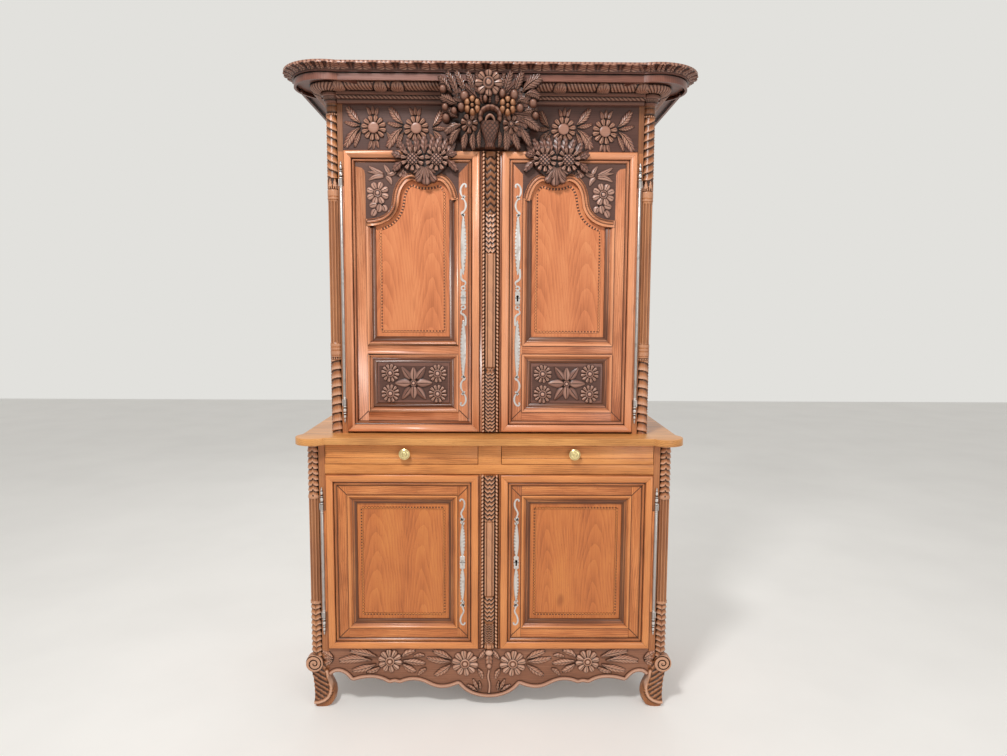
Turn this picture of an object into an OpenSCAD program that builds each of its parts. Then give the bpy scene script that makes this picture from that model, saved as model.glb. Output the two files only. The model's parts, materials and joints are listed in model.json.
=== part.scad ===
// Two-part buffet: a tall cupboard with two doors, standing on a low one with two doors and two drawers.
// Millimetres. X runs from left to right as seen from the front, Y from front to back and Z up.
// The floor is z = 0, and x = y = 0 is the middle of the plan.

/* [Lower case] */
// Distance from the middle to the axis of each lower corner column
lower_column_x = 678; // [620:1:740]
// Radius of the lower corner columns
lower_column_r = 22; // [18:1:24]
// Depth of the lower case, from its back to the face of its front frame
lower_case_d = 596; // [540:1:660]
// Height of the lower case, from the floor to the underside of the counter
lower_case_h = 1059; // [1010:1:1120]
// Side of the square lower posts
lower_post = 57; // [52:1:62]
// Height of the lower edge of the lower doors
lower_door_z = 241; // [230:1:260]
// Height of the rail between the lower doors and the drawers
drawer_rail_h = 38; // [30:1:46]
// Depth of that rail, from front to back
drawer_rail_d = 42; // [36:1:60]

/* [Counter] */
// Thickness of the counter
counter_t = 27; // [22:1:34]
// How far the counter stands out past the case
counter_out = 39; // [30:1:42]
// Radius of the round lobes at the counter's front corners
counter_lobe_r = 66; // [60:1:72]

/* [Upper case] */
// Distance from the middle to the axis of each upper corner column
upper_column_x = 600; // [560:1:630]
// Radius of the upper corner columns
upper_column_r = 22; // [18:1:24]
// Depth of the upper case, from its back to the face of its front frame
upper_case_d = 516; // [470:1:560]
// Height of the upper case, from the counter to the seat of the cornice
upper_case_h = 1253; // [1180:1:1340]
// Side of the square upper posts
upper_post = 52; // [48:1:56]
// Height of the frieze
frieze_h = 168; // [150:1:185]
// How far the column axes stand inside the front and side faces
column_set = 12; // [8:1:16]

/* [Cornice] */
// Height of the cornice
cornice_h = 108; // [100:1:120]
// How far the cornice stands out past the face of the upper case
cornice_out = 154; // [146:1:166]
// How much further the round corner lobes stand out
lobe_out = 12; // [8:1:16]
// How far the flat fascia stands out
fascia_out = 117; // [105:1:125]
// Height of the fascia's lower edge above the seat of the cornice
fascia_z = 52; // [46:1:54]
// Height of the fascia
fascia_h = 23; // [20:1:26]
// How far the top of the rounded band under the fascia stands out
round_out = 72; // [60:1:84]
// Height of the plain bands below the rounded one
band_h = 13; // [11:1:13]
// How far each plain band steps out
band_step = 9; // [6:1:12]
// Thickness of the cornice behind the face of the case
cornice_in = 22; // [18:1:30]

/* [Doors] */
// Thickness of the door frames
door_t = 28; // [24:1:32]
// Gap between a door and what surrounds it
door_gap = 2; // [1.5:0.1:3]
// Width of the raised outer moulding
outer_mould_w = 44; // [38:1:48]
// How far the outer moulding stands proud of the frame
outer_mould_h = 12; // [8:1:14]
// Width of the flat of the stiles and rails between the mouldings
flat_w = 38; // [34:1:42]
// Width of the inner moulding round each panel
inner_mould_w = 35; // [30:1:38]
// How far the field of a panel lies behind the flat of the frame
field_set = 14; // [11:1:15]
// Thickness of the panels
panel_t = 10; // [8:1:12]
// Depth of the grooves that hold the panels
groove_d = 8; // [5:1:10]
// Half the space between the outer mouldings of a pair of doors
meeting_x = 42; // [38:1:46]
// Height of the opening for the carved panel at the foot of the upper doors
low_panel_h = 228; // [200:1:250]
// Height of the bottom rail of the upper doors
low_rail_h = 78; // [70:1:86]
// Height of the rail between the two panels of the upper doors
mid_rail_h = 33; // [28:1:45]
// Drop from the top of the upper doors to the crown of their arched panels
arch_drop = 81; // [78:1:95]
// Fall of the arch from its crown to the meeting stile
arch_fall = 97; // [80:1:120]
// Fall of the arch from its crown to the hinge stile
shoulder_fall = 174; // [160:1:200]
// Width of the moulding that follows the arch
arch_mould_w = 26; // [22:1:30]

/* [Carving] */
// Radius of each sunflower over the arches of the upper doors
flower_r = 48; // [42:1:52]
// Half width of the crest in the middle of the frieze and cornice
crest_x = 192; // [170:1:210]

/* [Pilasters] */
// Width of the centre pilasters, which hang on the left doors
pilaster_w = 66; // [60:1:68]
// Thickness of the centre pilasters
pilaster_t = 16; // [14:1:20]

/* [Drawers] */
// Half width of the block between the drawers
divider_x = 44; // [40:1:56]
// Thickness of the drawer fronts
drawer_front_t = 20; // [18:1:24]
// Gap round the drawer fronts
drawer_gap = 2; // [1.5:0.1:3]
// Length of the drawer boxes behind their fronts
drawer_box_l = 430; // [380:1:450]
// Thickness of the drawer sides and backs
drawer_side_t = 12; // [10:1:14]
// Thickness of the drawer bottoms
drawer_bottom_t = 7; // [6:1:9]
// Depth of the drawer runners' section
runner_h = 18; // [14:1:22]
// Distance from the middle to each knob
knob_x = 325; // [300:1:350]
// Width of the knobs
knob_d = 43; // [36:1:48]
// How far the knobs stand out
knob_out = 26; // [22:1:30]

/* [Hinges] */
// Radius of the hinge barrels
barrel_r = 6.5; // [6:0.1:7]
// Radius of the hinge pins
pin_r = 4; // [3.5:0.1:4.5]
// Running clearance of a pin in its sleeve
pin_clear = 0.06; // [0.03:0.01:0.09]
// Distance from the edge of a lower door to the axis of its hinge
lower_hinge_out = 15; // [13:0.5:16]
// Distance from the edge of an upper door to the axis of its hinge
upper_hinge_out = 10; // [9:0.5:11]
// Length of the turned finial at each end of a hinge
finial_l = 92; // [80:1:105]
// Height of the lower hinges' lower end above the doors' lower edge
lower_hinge_z = 58; // [40:1:80]
// Length of the lower hinges
lower_hinge_l = 592; // [540:1:610]
// Height of the upper hinges' lower end above the doors' lower edge
upper_hinge_z = 35; // [20:1:50]
// Length of the upper hinges
upper_hinge_l = 1001; // [940:1:1020]

/* [Locks and bolts] */
// Travel of a lock's bolt
lock_travel = 14; // [10:1:16]
// Radius of the sliding bolts in the left doors
bolt_r = 4; // [3:0.5:5]
// Length of the sliding bolts
bolt_l = 130; // [100:1:150]
// Travel of the sliding bolts
bolt_travel = 14; // [10:1:16]
// Thickness of the pierced steel plates
plate_t = 1.6; // [1:0.1:2.5]
// Width of the pierced steel plates
plate_w = 27; // [24:1:30]
// Length of the lower plates as a share of the doors' height
lower_plate_share = 0.73; // [0.6:0.01:0.75]
// Length of the upper plates as a share of the doors' height
upper_plate_share = 0.79; // [0.7:0.01:0.8]

/* [Boards] */
// Thickness of rails, frieze and apron
rail_t = 26; // [22:1:27]
// Thickness of the shelves and of the bottom and top boards
board_t = 18; // [16:1:22]
// Thickness of the back boards
back_t = 16; // [12:1:20]
// Thickness of the side panels
side_panel_t = 12; // [10:1:16]
// Heights of the two upper shelves above the counter, as shares of the upper case's height
upper_shelf_shares = [0.307, 0.595];
// Height of the lower shelf's top face above the floor
lower_shelf_z = 620; // [560:1:680]

/* [Hidden] */
$fn = 48;
e = 1;
joint = 0.2;
face_gap = 0.3;

// Places that follow from the sizes above
upper_z = lower_case_h + counter_t;
cornice_z = upper_z + upper_case_h;
front_reach = upper_case_d + cornice_out + lobe_out;
back_y = front_reach / 2;
lower_y = back_y - lower_case_d;
upper_y = back_y - upper_case_d;
lower_side_x = lower_column_x + column_set;
upper_side_x = upper_column_x + column_set;
lower_open_x = lower_side_x - lower_post;
upper_open_x = upper_side_x - upper_post;
side_set = 3;
leg_clear = 150;

// Doors
lower_door_x = lower_open_x - door_gap;
upper_door_x = upper_open_x - door_gap;
drawer_gap_z = 4;
drawer_front_h = 74;
drawer_z = lower_case_h - drawer_gap_z - drawer_front_h;
drawer_rail_z = drawer_z - drawer_gap;
lower_door_top = drawer_rail_z - drawer_rail_h - door_gap;
upper_door_z = upper_z + 7;
upper_door_top = cornice_z - frieze_h - door_gap;
lower_door_h = lower_door_top - lower_door_z;
upper_door_h = upper_door_top - upper_door_z;
lower_key_z = lower_door_z + 0.5 * lower_door_h;
upper_key_z = upper_door_z + 0.483 * upper_door_h;
stile_w = outer_mould_w + flat_w;
pilaster_x = pilaster_w / 2;
butt_x = pilaster_x + 2.5;
arch_z = upper_door_top - arch_drop;

// A box between two corners
module block(x0, x1, y0, y1, z0, z1) {
    translate([x0, y0, z0]) cube([x1 - x0, y1 - y0, z1 - z0]);
}

// An outline seen from the front, given depth from y0 to y1
module upright(y0, y1) {
    translate([0, y1, 0]) rotate([90, 0, 0]) linear_extrude(y1 - y0) children();
}

// The children and their mirror image on the other side
module both_sides() {
    children();
    mirror([1, 0, 0]) children();
}

// Points of a cubic curve
function curve(a, b, c, d, n = 8) = [
    for (i = [0 : n]) let (t = i / n, s = 1 - t)
        s * s * s * a + 3 * s * s * t * b + 3 * s * t * t * c + t * t * t * d
];

// The floor plan of boards that fill a case between its posts
module board_plan(open_x, in_x, y0, y1, post_y0, post_y1) {
    translate([-open_x + joint, y0]) square([2 * (open_x - joint), y1 - y0]);
    translate([-in_x + joint, post_y0]) square([2 * (in_x - joint), post_y1 - post_y0]);
}

// Round work of a corner column, turned about its axis: each ring is [height, radius, length]
module rings(list) {
    for (r = list) translate([0, 0, r[0]]) cylinder(h = r[2], r = r[1]);
}

// LOWER CASE

module counter_plan() {
    half = lower_side_x + counter_out;
    y0 = lower_y - counter_out;
    translate([-half, lower_y + column_set]) square([2 * half, back_y - lower_y - column_set]);
    translate([-lower_column_x, y0]) square([2 * lower_column_x, back_y - y0]);
    both_sides() translate([lower_column_x, lower_y + column_set]) circle(counter_lobe_r);
}

module countertop() {
    round = 3;
    color("peru") translate([0, 0, lower_case_h]) {
        linear_extrude(counter_t - round) counter_plan();
        translate([0, 0, counter_t - round]) linear_extrude(round) intersection() {
            counter_plan();
            translate([0, round]) counter_plan();
            translate([round, 0]) counter_plan();
            translate([-round, 0]) counter_plan();
        }
    }
}

module lower_post_plan() {
    notch = lower_column_r - 2;
    column_y = lower_y + column_set;
    difference() {
        translate([lower_open_x, lower_y]) square(lower_post);
        translate([lower_column_x - notch, lower_y - e]) square([lower_post, notch + column_set + e]);
    }
    translate([lower_column_x, column_y]) circle(lower_column_r);
}

// Scroll foot seen from the front, to the right of the middle
module foot_outline() {
    x = lower_column_x;
    outer = curve([x + 27, leg_clear + 4], [x + 13, 125], [x + 22, 62], [x + 13, 42]);
    inner = curve([x - 42, 0], [x - 68, 20], [x - 72, 60], [x - 56, 88]);
    neck = curve([x - 56, 88], [x - 50, 100], [x - 46, 108], [lower_open_x, 118]);
    polygon(concat(
        [[lower_open_x, leg_clear + 40], [x + 10, leg_clear + 40]], outer,
        [[x + 16, 18], [x + 10, 0]], inner, neck
    ));
}

foot_out = 10;
ring_out = 1.5;
volute_r = 34;
volute_z = 183;

module lower_front_post() {
    column_y = lower_y + column_set;
    translate([0, 0, leg_clear]) linear_extrude(lower_case_h - leg_clear) lower_post_plan();
    upright(lower_y - foot_out, lower_y + lower_post) foot_outline();
    translate([lower_column_x + 9, lower_y + 24, volute_z]) rotate([90, 0, 0])
        cylinder(h = 24 + foot_out + 4, r = volute_r);
    translate([lower_column_x, column_y, 0])
        rings([for (share = [0.401, 0.8]) [share * lower_case_h, lower_column_r + ring_out, 8]]);
}

module lower_front_posts() {
    color("sienna") both_sides() lower_front_post();
}

module lower_rear_posts() {
    color("sienna") both_sides()
        block(lower_open_x, lower_side_x, back_y - lower_post, back_y, 0, lower_case_h);
}

// Rails of one side between two posts, with a board between them
module side_rails(side_x, y0, y1, spans) {
    color("sienna") both_sides() for (s = spans)
        block(side_x - side_set - rail_t, side_x - side_set, y0 + joint, y1 - joint, s[0], s[1]);
}

module side_panels(side_x, y0, y1, spans) {
    raised = 5;
    border = 60;
    out_x = side_x - side_set - 7;
    color("peru") both_sides() for (s = spans) {
        block(out_x - side_panel_t, out_x, y0 + joint, y1 - joint, s[0] + joint, s[1] - joint);
        block(out_x - e, out_x + raised, y0 + border, y1 - border, s[0] + border, s[1] - border);
    }
}

lower_rail_low = [leg_clear, lower_door_z + 50];
lower_rail_top = [lower_case_h - 110, lower_case_h];
lower_side_y0 = lower_y + lower_post;
lower_side_y1 = back_y - lower_post;
lower_in_x = lower_side_x - side_set - rail_t;

module lower_side_rails() {
    side_rails(lower_side_x, lower_side_y0, lower_side_y1, [lower_rail_low, lower_rail_top]);
}

module lower_side_panels() {
    side_panels(lower_side_x, lower_side_y0, lower_side_y1, [[lower_rail_low[1], lower_rail_top[0]]]);
}

// Upright boards side by side between the rear posts
module back_boards(open_x, z0, z1, count) {
    pitch = 2 * open_x / count;
    color("saddlebrown") for (i = [0 : count - 1])
        block(-open_x + i * pitch + joint, -open_x + (i + 1) * pitch - joint, back_y - back_t, back_y,
            z0, z1);
}

module lower_back() {
    back_boards(lower_open_x, leg_clear, lower_case_h, 6);
}

module drawer_rail() {
    hole_z = drawer_rail_z - drawer_rail_h;
    color("peru") difference() {
        block(-lower_open_x + joint, lower_open_x - joint, lower_y, lower_y + drawer_rail_d,
            hole_z, drawer_rail_z);
        translate([bolt_x, bolt_y(lower_y), hole_z - e])
            cylinder(h = bolt_travel + 4 + e, r = bolt_r + 0.6);
    }
}

module drawer_divider() {
    color("peru") block(-divider_x, divider_x, lower_y, lower_y + drawer_rail_d,
        drawer_rail_z + joint, lower_case_h - joint);
}

apron_top = lower_door_z - 4;

// A point of the apron's edge, at a share of its half length and of its height
function on_apron(x, z) = [x * (lower_open_x - joint), z * apron_top];

// Lower edge of the apron from the middle to the right post
module apron_outline() {
    cusp = on_apron(0.188, 0.392);
    belly = on_apron(0.376, 0.38);
    notch_a = on_apron(0.56, 0.397);
    notch_b = on_apron(0.623, 0.397);
    knee = on_apron(0.855, 0.439);
    half = concat(
        curve(on_apron(0, 0.152), on_apron(0.071, 0.152), on_apron(0.145, 0.22), cusp),
        curve(cusp, on_apron(0.237, 0.338), on_apron(0.303, 0.262), belly),
        curve(belly, on_apron(0.442, 0.481), on_apron(0.503, 0.473), notch_a),
        [on_apron(0.591, 0.43)],
        curve(notch_b, on_apron(0.683, 0.523), on_apron(0.774, 0.523), knee),
        curve(knee, on_apron(0.888, 0.6), on_apron(0.958, 0.675), on_apron(1, 0.523))
    );
    end_x = lower_open_x - joint;
    top = apron_top;
    polygon(concat(
        [[0, top], [-end_x, top]],
        [for (i = [len(half) - 1 : -1 : 1]) [-half[i][0], half[i][1]]],
        half, [[end_x, top]]
    ));
}

module apron() {
    color("sienna") upright(lower_y, lower_y + rail_t) apron_outline();
}

module lower_bottom() {
    color("saddlebrown") translate([0, 0, apron_top - board_t]) linear_extrude(board_t) board_plan(
        lower_open_x, lower_in_x, lower_y + rail_t + joint, back_y - back_t - joint,
        lower_side_y0 + joint, lower_side_y1 - joint);
}

shelf_front = 50;

module lower_shelf() {
    color("saddlebrown") translate([0, 0, lower_shelf_z - board_t]) linear_extrude(board_t) board_plan(
        lower_open_x - joint, lower_in_x, lower_y + shelf_front + lower_post, back_y - back_t - joint,
        lower_y + shelf_front + lower_post, lower_side_y1 - joint);
}

upper_shelf_z = [for (share = upper_shelf_shares) upper_z + share * upper_case_h];
cleat_h = 28;
cleat_t = 18;

module cleats(in_x, y0, y1, z) {
    both_sides() block(in_x - cleat_t - joint, in_x - joint, y0, y1, z - cleat_h - joint, z - joint);
}

module shelf_cleats() {
    color("peru") {
        cleats(lower_side_x - side_set - 7 - side_panel_t, lower_side_y0 + joint, lower_side_y1 - joint,
            lower_shelf_z - board_t);
        for (z = upper_shelf_z)
            cleats(upper_side_x - side_set - 7 - side_panel_t, upper_side_y0 + joint,
                upper_side_y1 - joint, z - board_t);
    }
}

runner_top = drawer_z + 1;

module drawer_runners() {
    y0 = lower_y + drawer_rail_d + joint;
    y1 = back_y - back_t - joint;
    z0 = runner_top - runner_h;
    color("peru") {
        block(-divider_x - 36, divider_x + 36, y0, y1, z0, runner_top);
        block(-divider_x + 10, divider_x - 10, y0, y1, runner_top - e, runner_top + 40);
        both_sides() {
            block(lower_open_x - 40, lower_open_x - joint, y0, y1, z0, runner_top);
            block(lower_open_x - 6, lower_in_x - joint, lower_side_y0 + joint, lower_side_y1 - joint,
                z0, runner_top + 40);
        }
    }
}

// DRAWERS

drawer_x0 = divider_x + drawer_gap;
drawer_x1 = lower_open_x - drawer_gap;
drawer_side_z = runner_top + face_gap;
drawer_side_h = 62;

module drawer_front() {
    lip = 3;
    lip_h = 22;
    color("peru") {
        block(drawer_x0, drawer_x1, lower_y, lower_y + drawer_front_t, drawer_z, drawer_z + drawer_front_h);
        block(drawer_x0, drawer_x1, lower_y - lip, lower_y + e, drawer_z, drawer_z + lip_h);
    }
}

module drawer_box() {
    x0 = drawer_x0 + 6;
    x1 = drawer_x1 - 10;
    y0 = lower_y + drawer_front_t + joint;
    y1 = y0 + drawer_box_l;
    z1 = drawer_side_z + drawer_side_h;
    t = drawer_side_t;
    bottom_z = drawer_side_z + 6;
    slot = [bottom_z - joint, bottom_z + drawer_bottom_t + joint];
    color("burlywood") {
        difference() {
            union() {
                block(x0, x0 + t, y0, y1, drawer_side_z, z1);
                block(x1 - t, x1, y0, y1, drawer_side_z, z1);
            }
            block(x0 + t - 5, x1 - t + 5, y0 - e, y1 + e, slot[0], slot[1]);
        }
        block(x0 + t + joint, x1 - t - joint, y1 - t, y1, slot[1] + joint, z1);
        block(x0 + t - 5 + joint, x1 - t + 5 - joint, y0, y1 - joint, bottom_z, bottom_z + drawer_bottom_t);
    }
}

// Turned brass knob: stem, rounded disc and back plate
module knob() {
    r = knob_d / 2;
    color("gold") translate([knob_x, lower_y, drawer_z + drawer_front_h * 0.56])
        rotate([90, 0, 0]) rotate_extrude() polygon(concat(
            [[0, 0], [9, 0], [8, 3], [6, 6], [6, knob_out - 9], [r - 4, knob_out - 7]],
            curve([r, knob_out - 5], [r, knob_out - 2], [r * 0.6, knob_out], [0, knob_out])
        ));
}

// HINGES

lower_hinge = [lower_door_x + lower_hinge_out, lower_y - barrel_r - face_gap];
upper_hinge = [upper_door_x + upper_hinge_out, upper_y - barrel_r - face_gap];

// Turned finial that grows from a knuckle, with its narrow end up
module finial() {
    rotate_extrude() polygon([
        [0, 0], [barrel_r, 0], [barrel_r, 30], [barrel_r - 2, 33], [barrel_r - 2, 36], [barrel_r, 40],
        [barrel_r + 0.5, 50], [barrel_r - 1, 60], [barrel_r - 3, 64], [barrel_r - 1.5, 70],
        [barrel_r - 2, 76], [2, finial_l - 6], [2.5, finial_l - 3], [0, finial_l]
    ]);
}

// The fixed half of one hinge: two finials, the pin that joins them and a leaf on the post
module hinge_pin(p, z, l) {
    leaf_x = p[0] + barrel_r + 2;
    translate([p[0], p[1], z]) {
        translate([0, 0, finial_l - e]) cylinder(h = l - 2 * finial_l + 2 * e, r = pin_r);
        translate([0, 0, finial_l]) mirror([0, 0, 1]) finial();
        translate([0, 0, l - finial_l]) finial();
    }
    for (z0 = [z + finial_l - 30, z + l - finial_l])
        block(p[0] + 2, leaf_x, p[1] + barrel_r - 2.5, p[1] + barrel_r + face_gap / 2, z0, z0 + 30);
}

module hinge_pins() {
    color("silver") both_sides() {
        hinge_pin(lower_hinge, lower_door_z + lower_hinge_z, lower_hinge_l);
        hinge_pin(upper_hinge, upper_door_z + upper_hinge_z, upper_hinge_l);
    }
}

// The moving half: a long sleeve on the pin, with a leaf let into the edge of the door
module hinge_sleeve(p, door_x, z, l) {
    z0 = z + finial_l + face_gap;
    h = l - 2 * (finial_l + face_gap);
    color("silver") difference() {
        union() {
            translate([p[0], p[1], z0]) cylinder(h = h, r = barrel_r);
            block(door_x + joint, p[0], p[1] + barrel_r - 3, p[1] + barrel_r - 0.5, z0, z0 + h);
        }
        translate([p[0], p[1], z0 - e]) cylinder(h = h + 2 * e, r = pin_r + pin_clear);
    }
}

module lower_right_hinge_sleeve() {
    hinge_sleeve(lower_hinge, lower_door_x, lower_door_z + lower_hinge_z, lower_hinge_l);
}

module upper_right_hinge_sleeve() {
    hinge_sleeve(upper_hinge, upper_door_x, upper_door_z + upper_hinge_z, upper_hinge_l);
}

// DOORS

// One side of a moulded frame: its profile runs along X and is cut to a mitre at both ends
module mitred_side(l, w) {
    g = joint / 2;
    intersection() {
        rotate([90, 0, 90]) linear_extrude(l) children();
        upright(-60, 60)
            polygon([[g - e, -e], [l - g + e, -e], [l - w - g - e, w + e], [w + g + e, w + e]]);
    }
}

// A moulding that runs round a rectangle, with its outer edge on that rectangle
module moulding_ring(x0, x1, z0, z1, w) {
    translate([x0, 0, z0]) mitred_side(x1 - x0, w) children();
    translate([x0, 0, z1]) mirror([0, 0, 1]) mitred_side(x1 - x0, w) children();
    translate([x0, 0, z0]) mirror([1, 0, -1]) mitred_side(z1 - z0, w) children();
    translate([x1, 0, z0]) mirror([1, 0, 0]) mirror([1, 0, -1]) mitred_side(z1 - z0, w) children();
}

// Profiles are [-height above the frame's face, distance in from the outer edge]
module outer_profile() {
    w = outer_mould_w;
    h = outer_mould_h;
    roll = w * 0.68;
    arc = [for (a = [180 : -15 : 0]) [-h * 0.45 - h * 0.55 * sin(a), roll / 2 + roll / 2 * cos(a)]];
    polygon(concat([[0, 0]], arc, [[-h * 0.3, roll + 1], [-h * 0.5, roll + 4], [-h * 0.5, roll + 8],
        [-2, w - 1], [0, w - 1]]));
}

module inner_profile() {
    w = inner_mould_w;
    hollow = curve([0, 10], [1, 14], [4, 12], [6, 19], 6);
    polygon(concat([[field_set - joint, joint], [-3, joint], [-3, 6], [-1, 8]], hollow,
        [[5, 22], [6, 27], [9, w - 1], [field_set - joint, w]]));
}

// Stiles and rails of a door whose outer edge is at x1, its meeting edge at x0
module door_members(x0, x1, z0, z1, y, top_w) {
    s0 = meeting_x + stile_w;
    s1 = x1 - stile_w;
    block(x0, s0 - joint, y, y + door_t, z0, z1);
    block(s1 + joint, x1, y, y + door_t, z0, z1);
    block(s0, s1, y, y + door_t, z0, z0 + stile_w);
    block(s0, s1, y, y + door_t, z1 - top_w, z1);
}

// The space that a panel and its tongue take up, with the clearance c round it
module panel_space(x0, x1, z0, z1, y, c) {
    g = groove_d - joint + c;
    block(x0 - g, x1 + g, y + field_set - c, y + field_set + panel_t + c, z0 - g, z1 + g);
}

module keyhole(x, z, y) {
    upright(y - e, y + door_t + e) translate([x, z]) {
        circle(4);
        translate([-1.8, -11]) square([3.6, 11]);
    }
}

// Bore and thumb slot of a sliding bolt at the top of a left door's meeting stile
bolt_x = -(meeting_x + stile_w - 24);
function bolt_y(face_y) = face_y + door_t / 2;

module bolt_space(y, top, c) {
    translate([bolt_x, bolt_y(y), top - bolt_l - 6])
        cylinder(h = bolt_l + 6 + e, r = bolt_r + c);
    block(bolt_x - 2.5 - c, bolt_x + 2.5 + c, bolt_y(y), y + door_t + e,
        top - bolt_l + 20 - 4 - c, top - bolt_l + 20 + bolt_travel + 8 + c);
}

module sliding_bolt(y, top) {
    color("silver") {
        translate([bolt_x, bolt_y(y), top - bolt_l]) cylinder(h = bolt_l - 1, r = bolt_r);
        block(bolt_x - 2.5, bolt_x + 2.5, bolt_y(y), y + door_t + 9,
            top - bolt_l + 20 - 3, top - bolt_l + 20 + 5);
    }
}

module lower_door_body(x0) {
    s0 = meeting_x + stile_w;
    s1 = lower_door_x - stile_w;
    z0 = lower_door_z;
    z1 = lower_door_top;
    difference() {
        door_members(x0, lower_door_x, z0, z1, lower_y, stile_w);
        panel_space(s0, s1, z0 + stile_w, z1 - stile_w, lower_y, joint);
    }
    translate([0, lower_y - joint, 0]) moulding_ring(meeting_x, lower_door_x, z0, z1, outer_mould_w)
        outer_profile();
    translate([0, lower_y, 0]) moulding_ring(s0, s1, z0 + stile_w, z1 - stile_w, inner_mould_w)
        inner_profile();
}

module lower_door_panel() {
    color("chocolate") panel_space(meeting_x + stile_w, lower_door_x - stile_w,
        lower_door_z + stile_w, lower_door_top - stile_w, lower_y, 0);
}

module lower_right_door_frame() {
    color("peru") difference() {
        lower_door_body(butt_x);
        keyhole(plate_x, lower_key_z, lower_y);
    }
}

module lower_left_door_frame() {
    color("peru") difference() {
        mirror([1, 0, 0]) lower_door_body(-pilaster_x);
        bolt_space(lower_y, lower_door_top, 0.15);
    }
}

// Pilaster with a rounded centre between two roped borders
module pilaster(y, z0, z1) {
    border = 11;
    color("sienna") {
        block(-pilaster_x, pilaster_x, y - pilaster_t + 6, y - joint, z0, z1);
        both_sides() block(pilaster_x - border, pilaster_x, y - pilaster_t, y - pilaster_t + 7, z0, z1);
        intersection() {
            translate([0, y - 2, z0]) cylinder(h = z1 - z0, r = pilaster_t);
            block(-pilaster_x, pilaster_x, y - pilaster_t - 2, y - 2, z0, z1);
        }
    }
}

module lower_pilaster() {
    pilaster(lower_y, lower_door_z + 2, lower_door_top);
}

module upper_pilaster() {
    pilaster(upper_y, upper_door_z, upper_door_top);
}

// Long pierced plate on the meeting stile: a blade with a scroll at each end
plate_x = meeting_x + outer_mould_w + flat_w / 2;

module plate_outline(l, blade) {
    r = plate_w * 0.42;
    w = plate_w / 2;
    waist = plate_w * 0.3;
    scroll = (l - blade) / 8;
    polygon(concat(
        curve([-4, -blade / 2], [-w, -blade * 0.36], [-w, -blade * 0.1], [-waist, 0]),
        curve([-waist, 0], [-w, blade * 0.1], [-w, blade * 0.36], [-4, blade / 2]),
        curve([4, blade / 2], [w, blade * 0.36], [w, blade * 0.1], [waist, 0]),
        curve([waist, 0], [w, -blade * 0.1], [w, -blade * 0.36], [4, -blade / 2])
    ));
    circle(plate_w / 2);
    for (s = [-1, 1]) {
        translate([0, s * (blade / 2 + scroll - 3)]) difference() {
            scale([r, scroll]) circle(1);
            scale([r - 4.5, scroll - 4.5]) circle(1);
        }
        translate([0, s * (blade / 2 + 3 * scroll - 10)]) difference() {
            scale([r, scroll]) circle(1);
            scale([r - 4.5, scroll - 4.5]) circle(1);
        }
    }
}

module plate(z, y, l, blade, pierced) {
    color("silver") difference() {
        upright(y - plate_t, y) translate([plate_x, z]) plate_outline(l, blade);
        if (pierced) keyhole(plate_x, z, y - plate_t);
    }
}

module lower_plate(pierced) {
    l = lower_plate_share * lower_door_h;
    plate(lower_key_z, lower_y, l, 0.62 * l, pierced);
}

module upper_plate(pierced) {
    l = upper_plate_share * upper_door_h;
    plate(upper_key_z, upper_y, l, 0.68 * l, pierced);
}

// Rim lock on the back of a right door, with a channel for its bolt
lock_x = butt_x + 2;
lock_w = 84;
lock_h = 92;
lock_t = 17;
lock_plate_t = 4;
lock_bolt_h = 16;
lock_bolt_t = 7;
lock_bolt_z = 14;

module lock_case(z, y) {
    y0 = y + door_t + joint;
    bolt_y0 = y0 + lock_plate_t;
    bolt_z0 = z + lock_bolt_z;
    color("dimgray") difference() {
        block(lock_x, lock_x + lock_w, y0, y0 + lock_t, z - lock_h / 2, z + lock_h / 2);
        block(lock_x - e, lock_x + lock_w - 26, bolt_y0 - face_gap, bolt_y0 + lock_bolt_t + face_gap,
            bolt_z0 - face_gap, bolt_z0 + lock_bolt_h + face_gap);
        keyhole(plate_x, z, y + lock_t);
    }
}

module lock_bolt(z, y) {
    y0 = y + door_t + joint + lock_plate_t;
    z0 = z + lock_bolt_z;
    color("silver") block(lock_x + 0.5, lock_x + lock_w - 30, y0, y0 + lock_bolt_t, z0, z0 + lock_bolt_h);
}

// UPPER DOORS

upper_s0 = meeting_x + stile_w;
upper_s1 = upper_door_x - stile_w;
low_open_z = upper_door_z + low_rail_h;
low_open_top = low_open_z + low_panel_h;
main_open_z = low_open_top + mid_rail_h;
arch_proud = 4;

// Lower edge of the arched top rail, from the meeting stile outwards
function arch_line() = let (
    w = upper_s1 - upper_s0, z = arch_z,
    start = [upper_s0, z - arch_fall], finish = [upper_s1, z - shoulder_fall],
    crown_a = [upper_s0 + 0.23 * w, z - 2], crown_b = [upper_s0 + 0.48 * w, z],
    waist = [upper_s0 + 0.716 * w, z - 0.6 * shoulder_fall]
) concat(
    curve(start, start + [0.02 * w, 50], crown_a - [0.12 * w, -4], crown_a),
    [[upper_s0 + 0.30 * w, z - 12], [upper_s0 + 0.41 * w, z - 12]],
    curve(crown_b, crown_b + [0.13 * w, 2], waist + [-0.01 * w, 62], waist),
    curve(waist, waist - [-0.01 * w, 42], finish - [0.18 * w, 0], finish)
);

module arched_rail(top) {
    polygon(concat(arch_line(), [[upper_s1, top], [upper_s0, top]]));
}

// The same line moved inwards by the width of the moulding
function arch_inside(w) = let (line = arch_line(), n = len(line)) [
    for (i = [0 : n - 1]) let (
        a = line[max(0, i - 1)], b = line[min(n - 1, i + 1)], d = (b - a) / norm(b - a)
    ) line[i] + w * [d[1], -d[0]]
];

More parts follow.
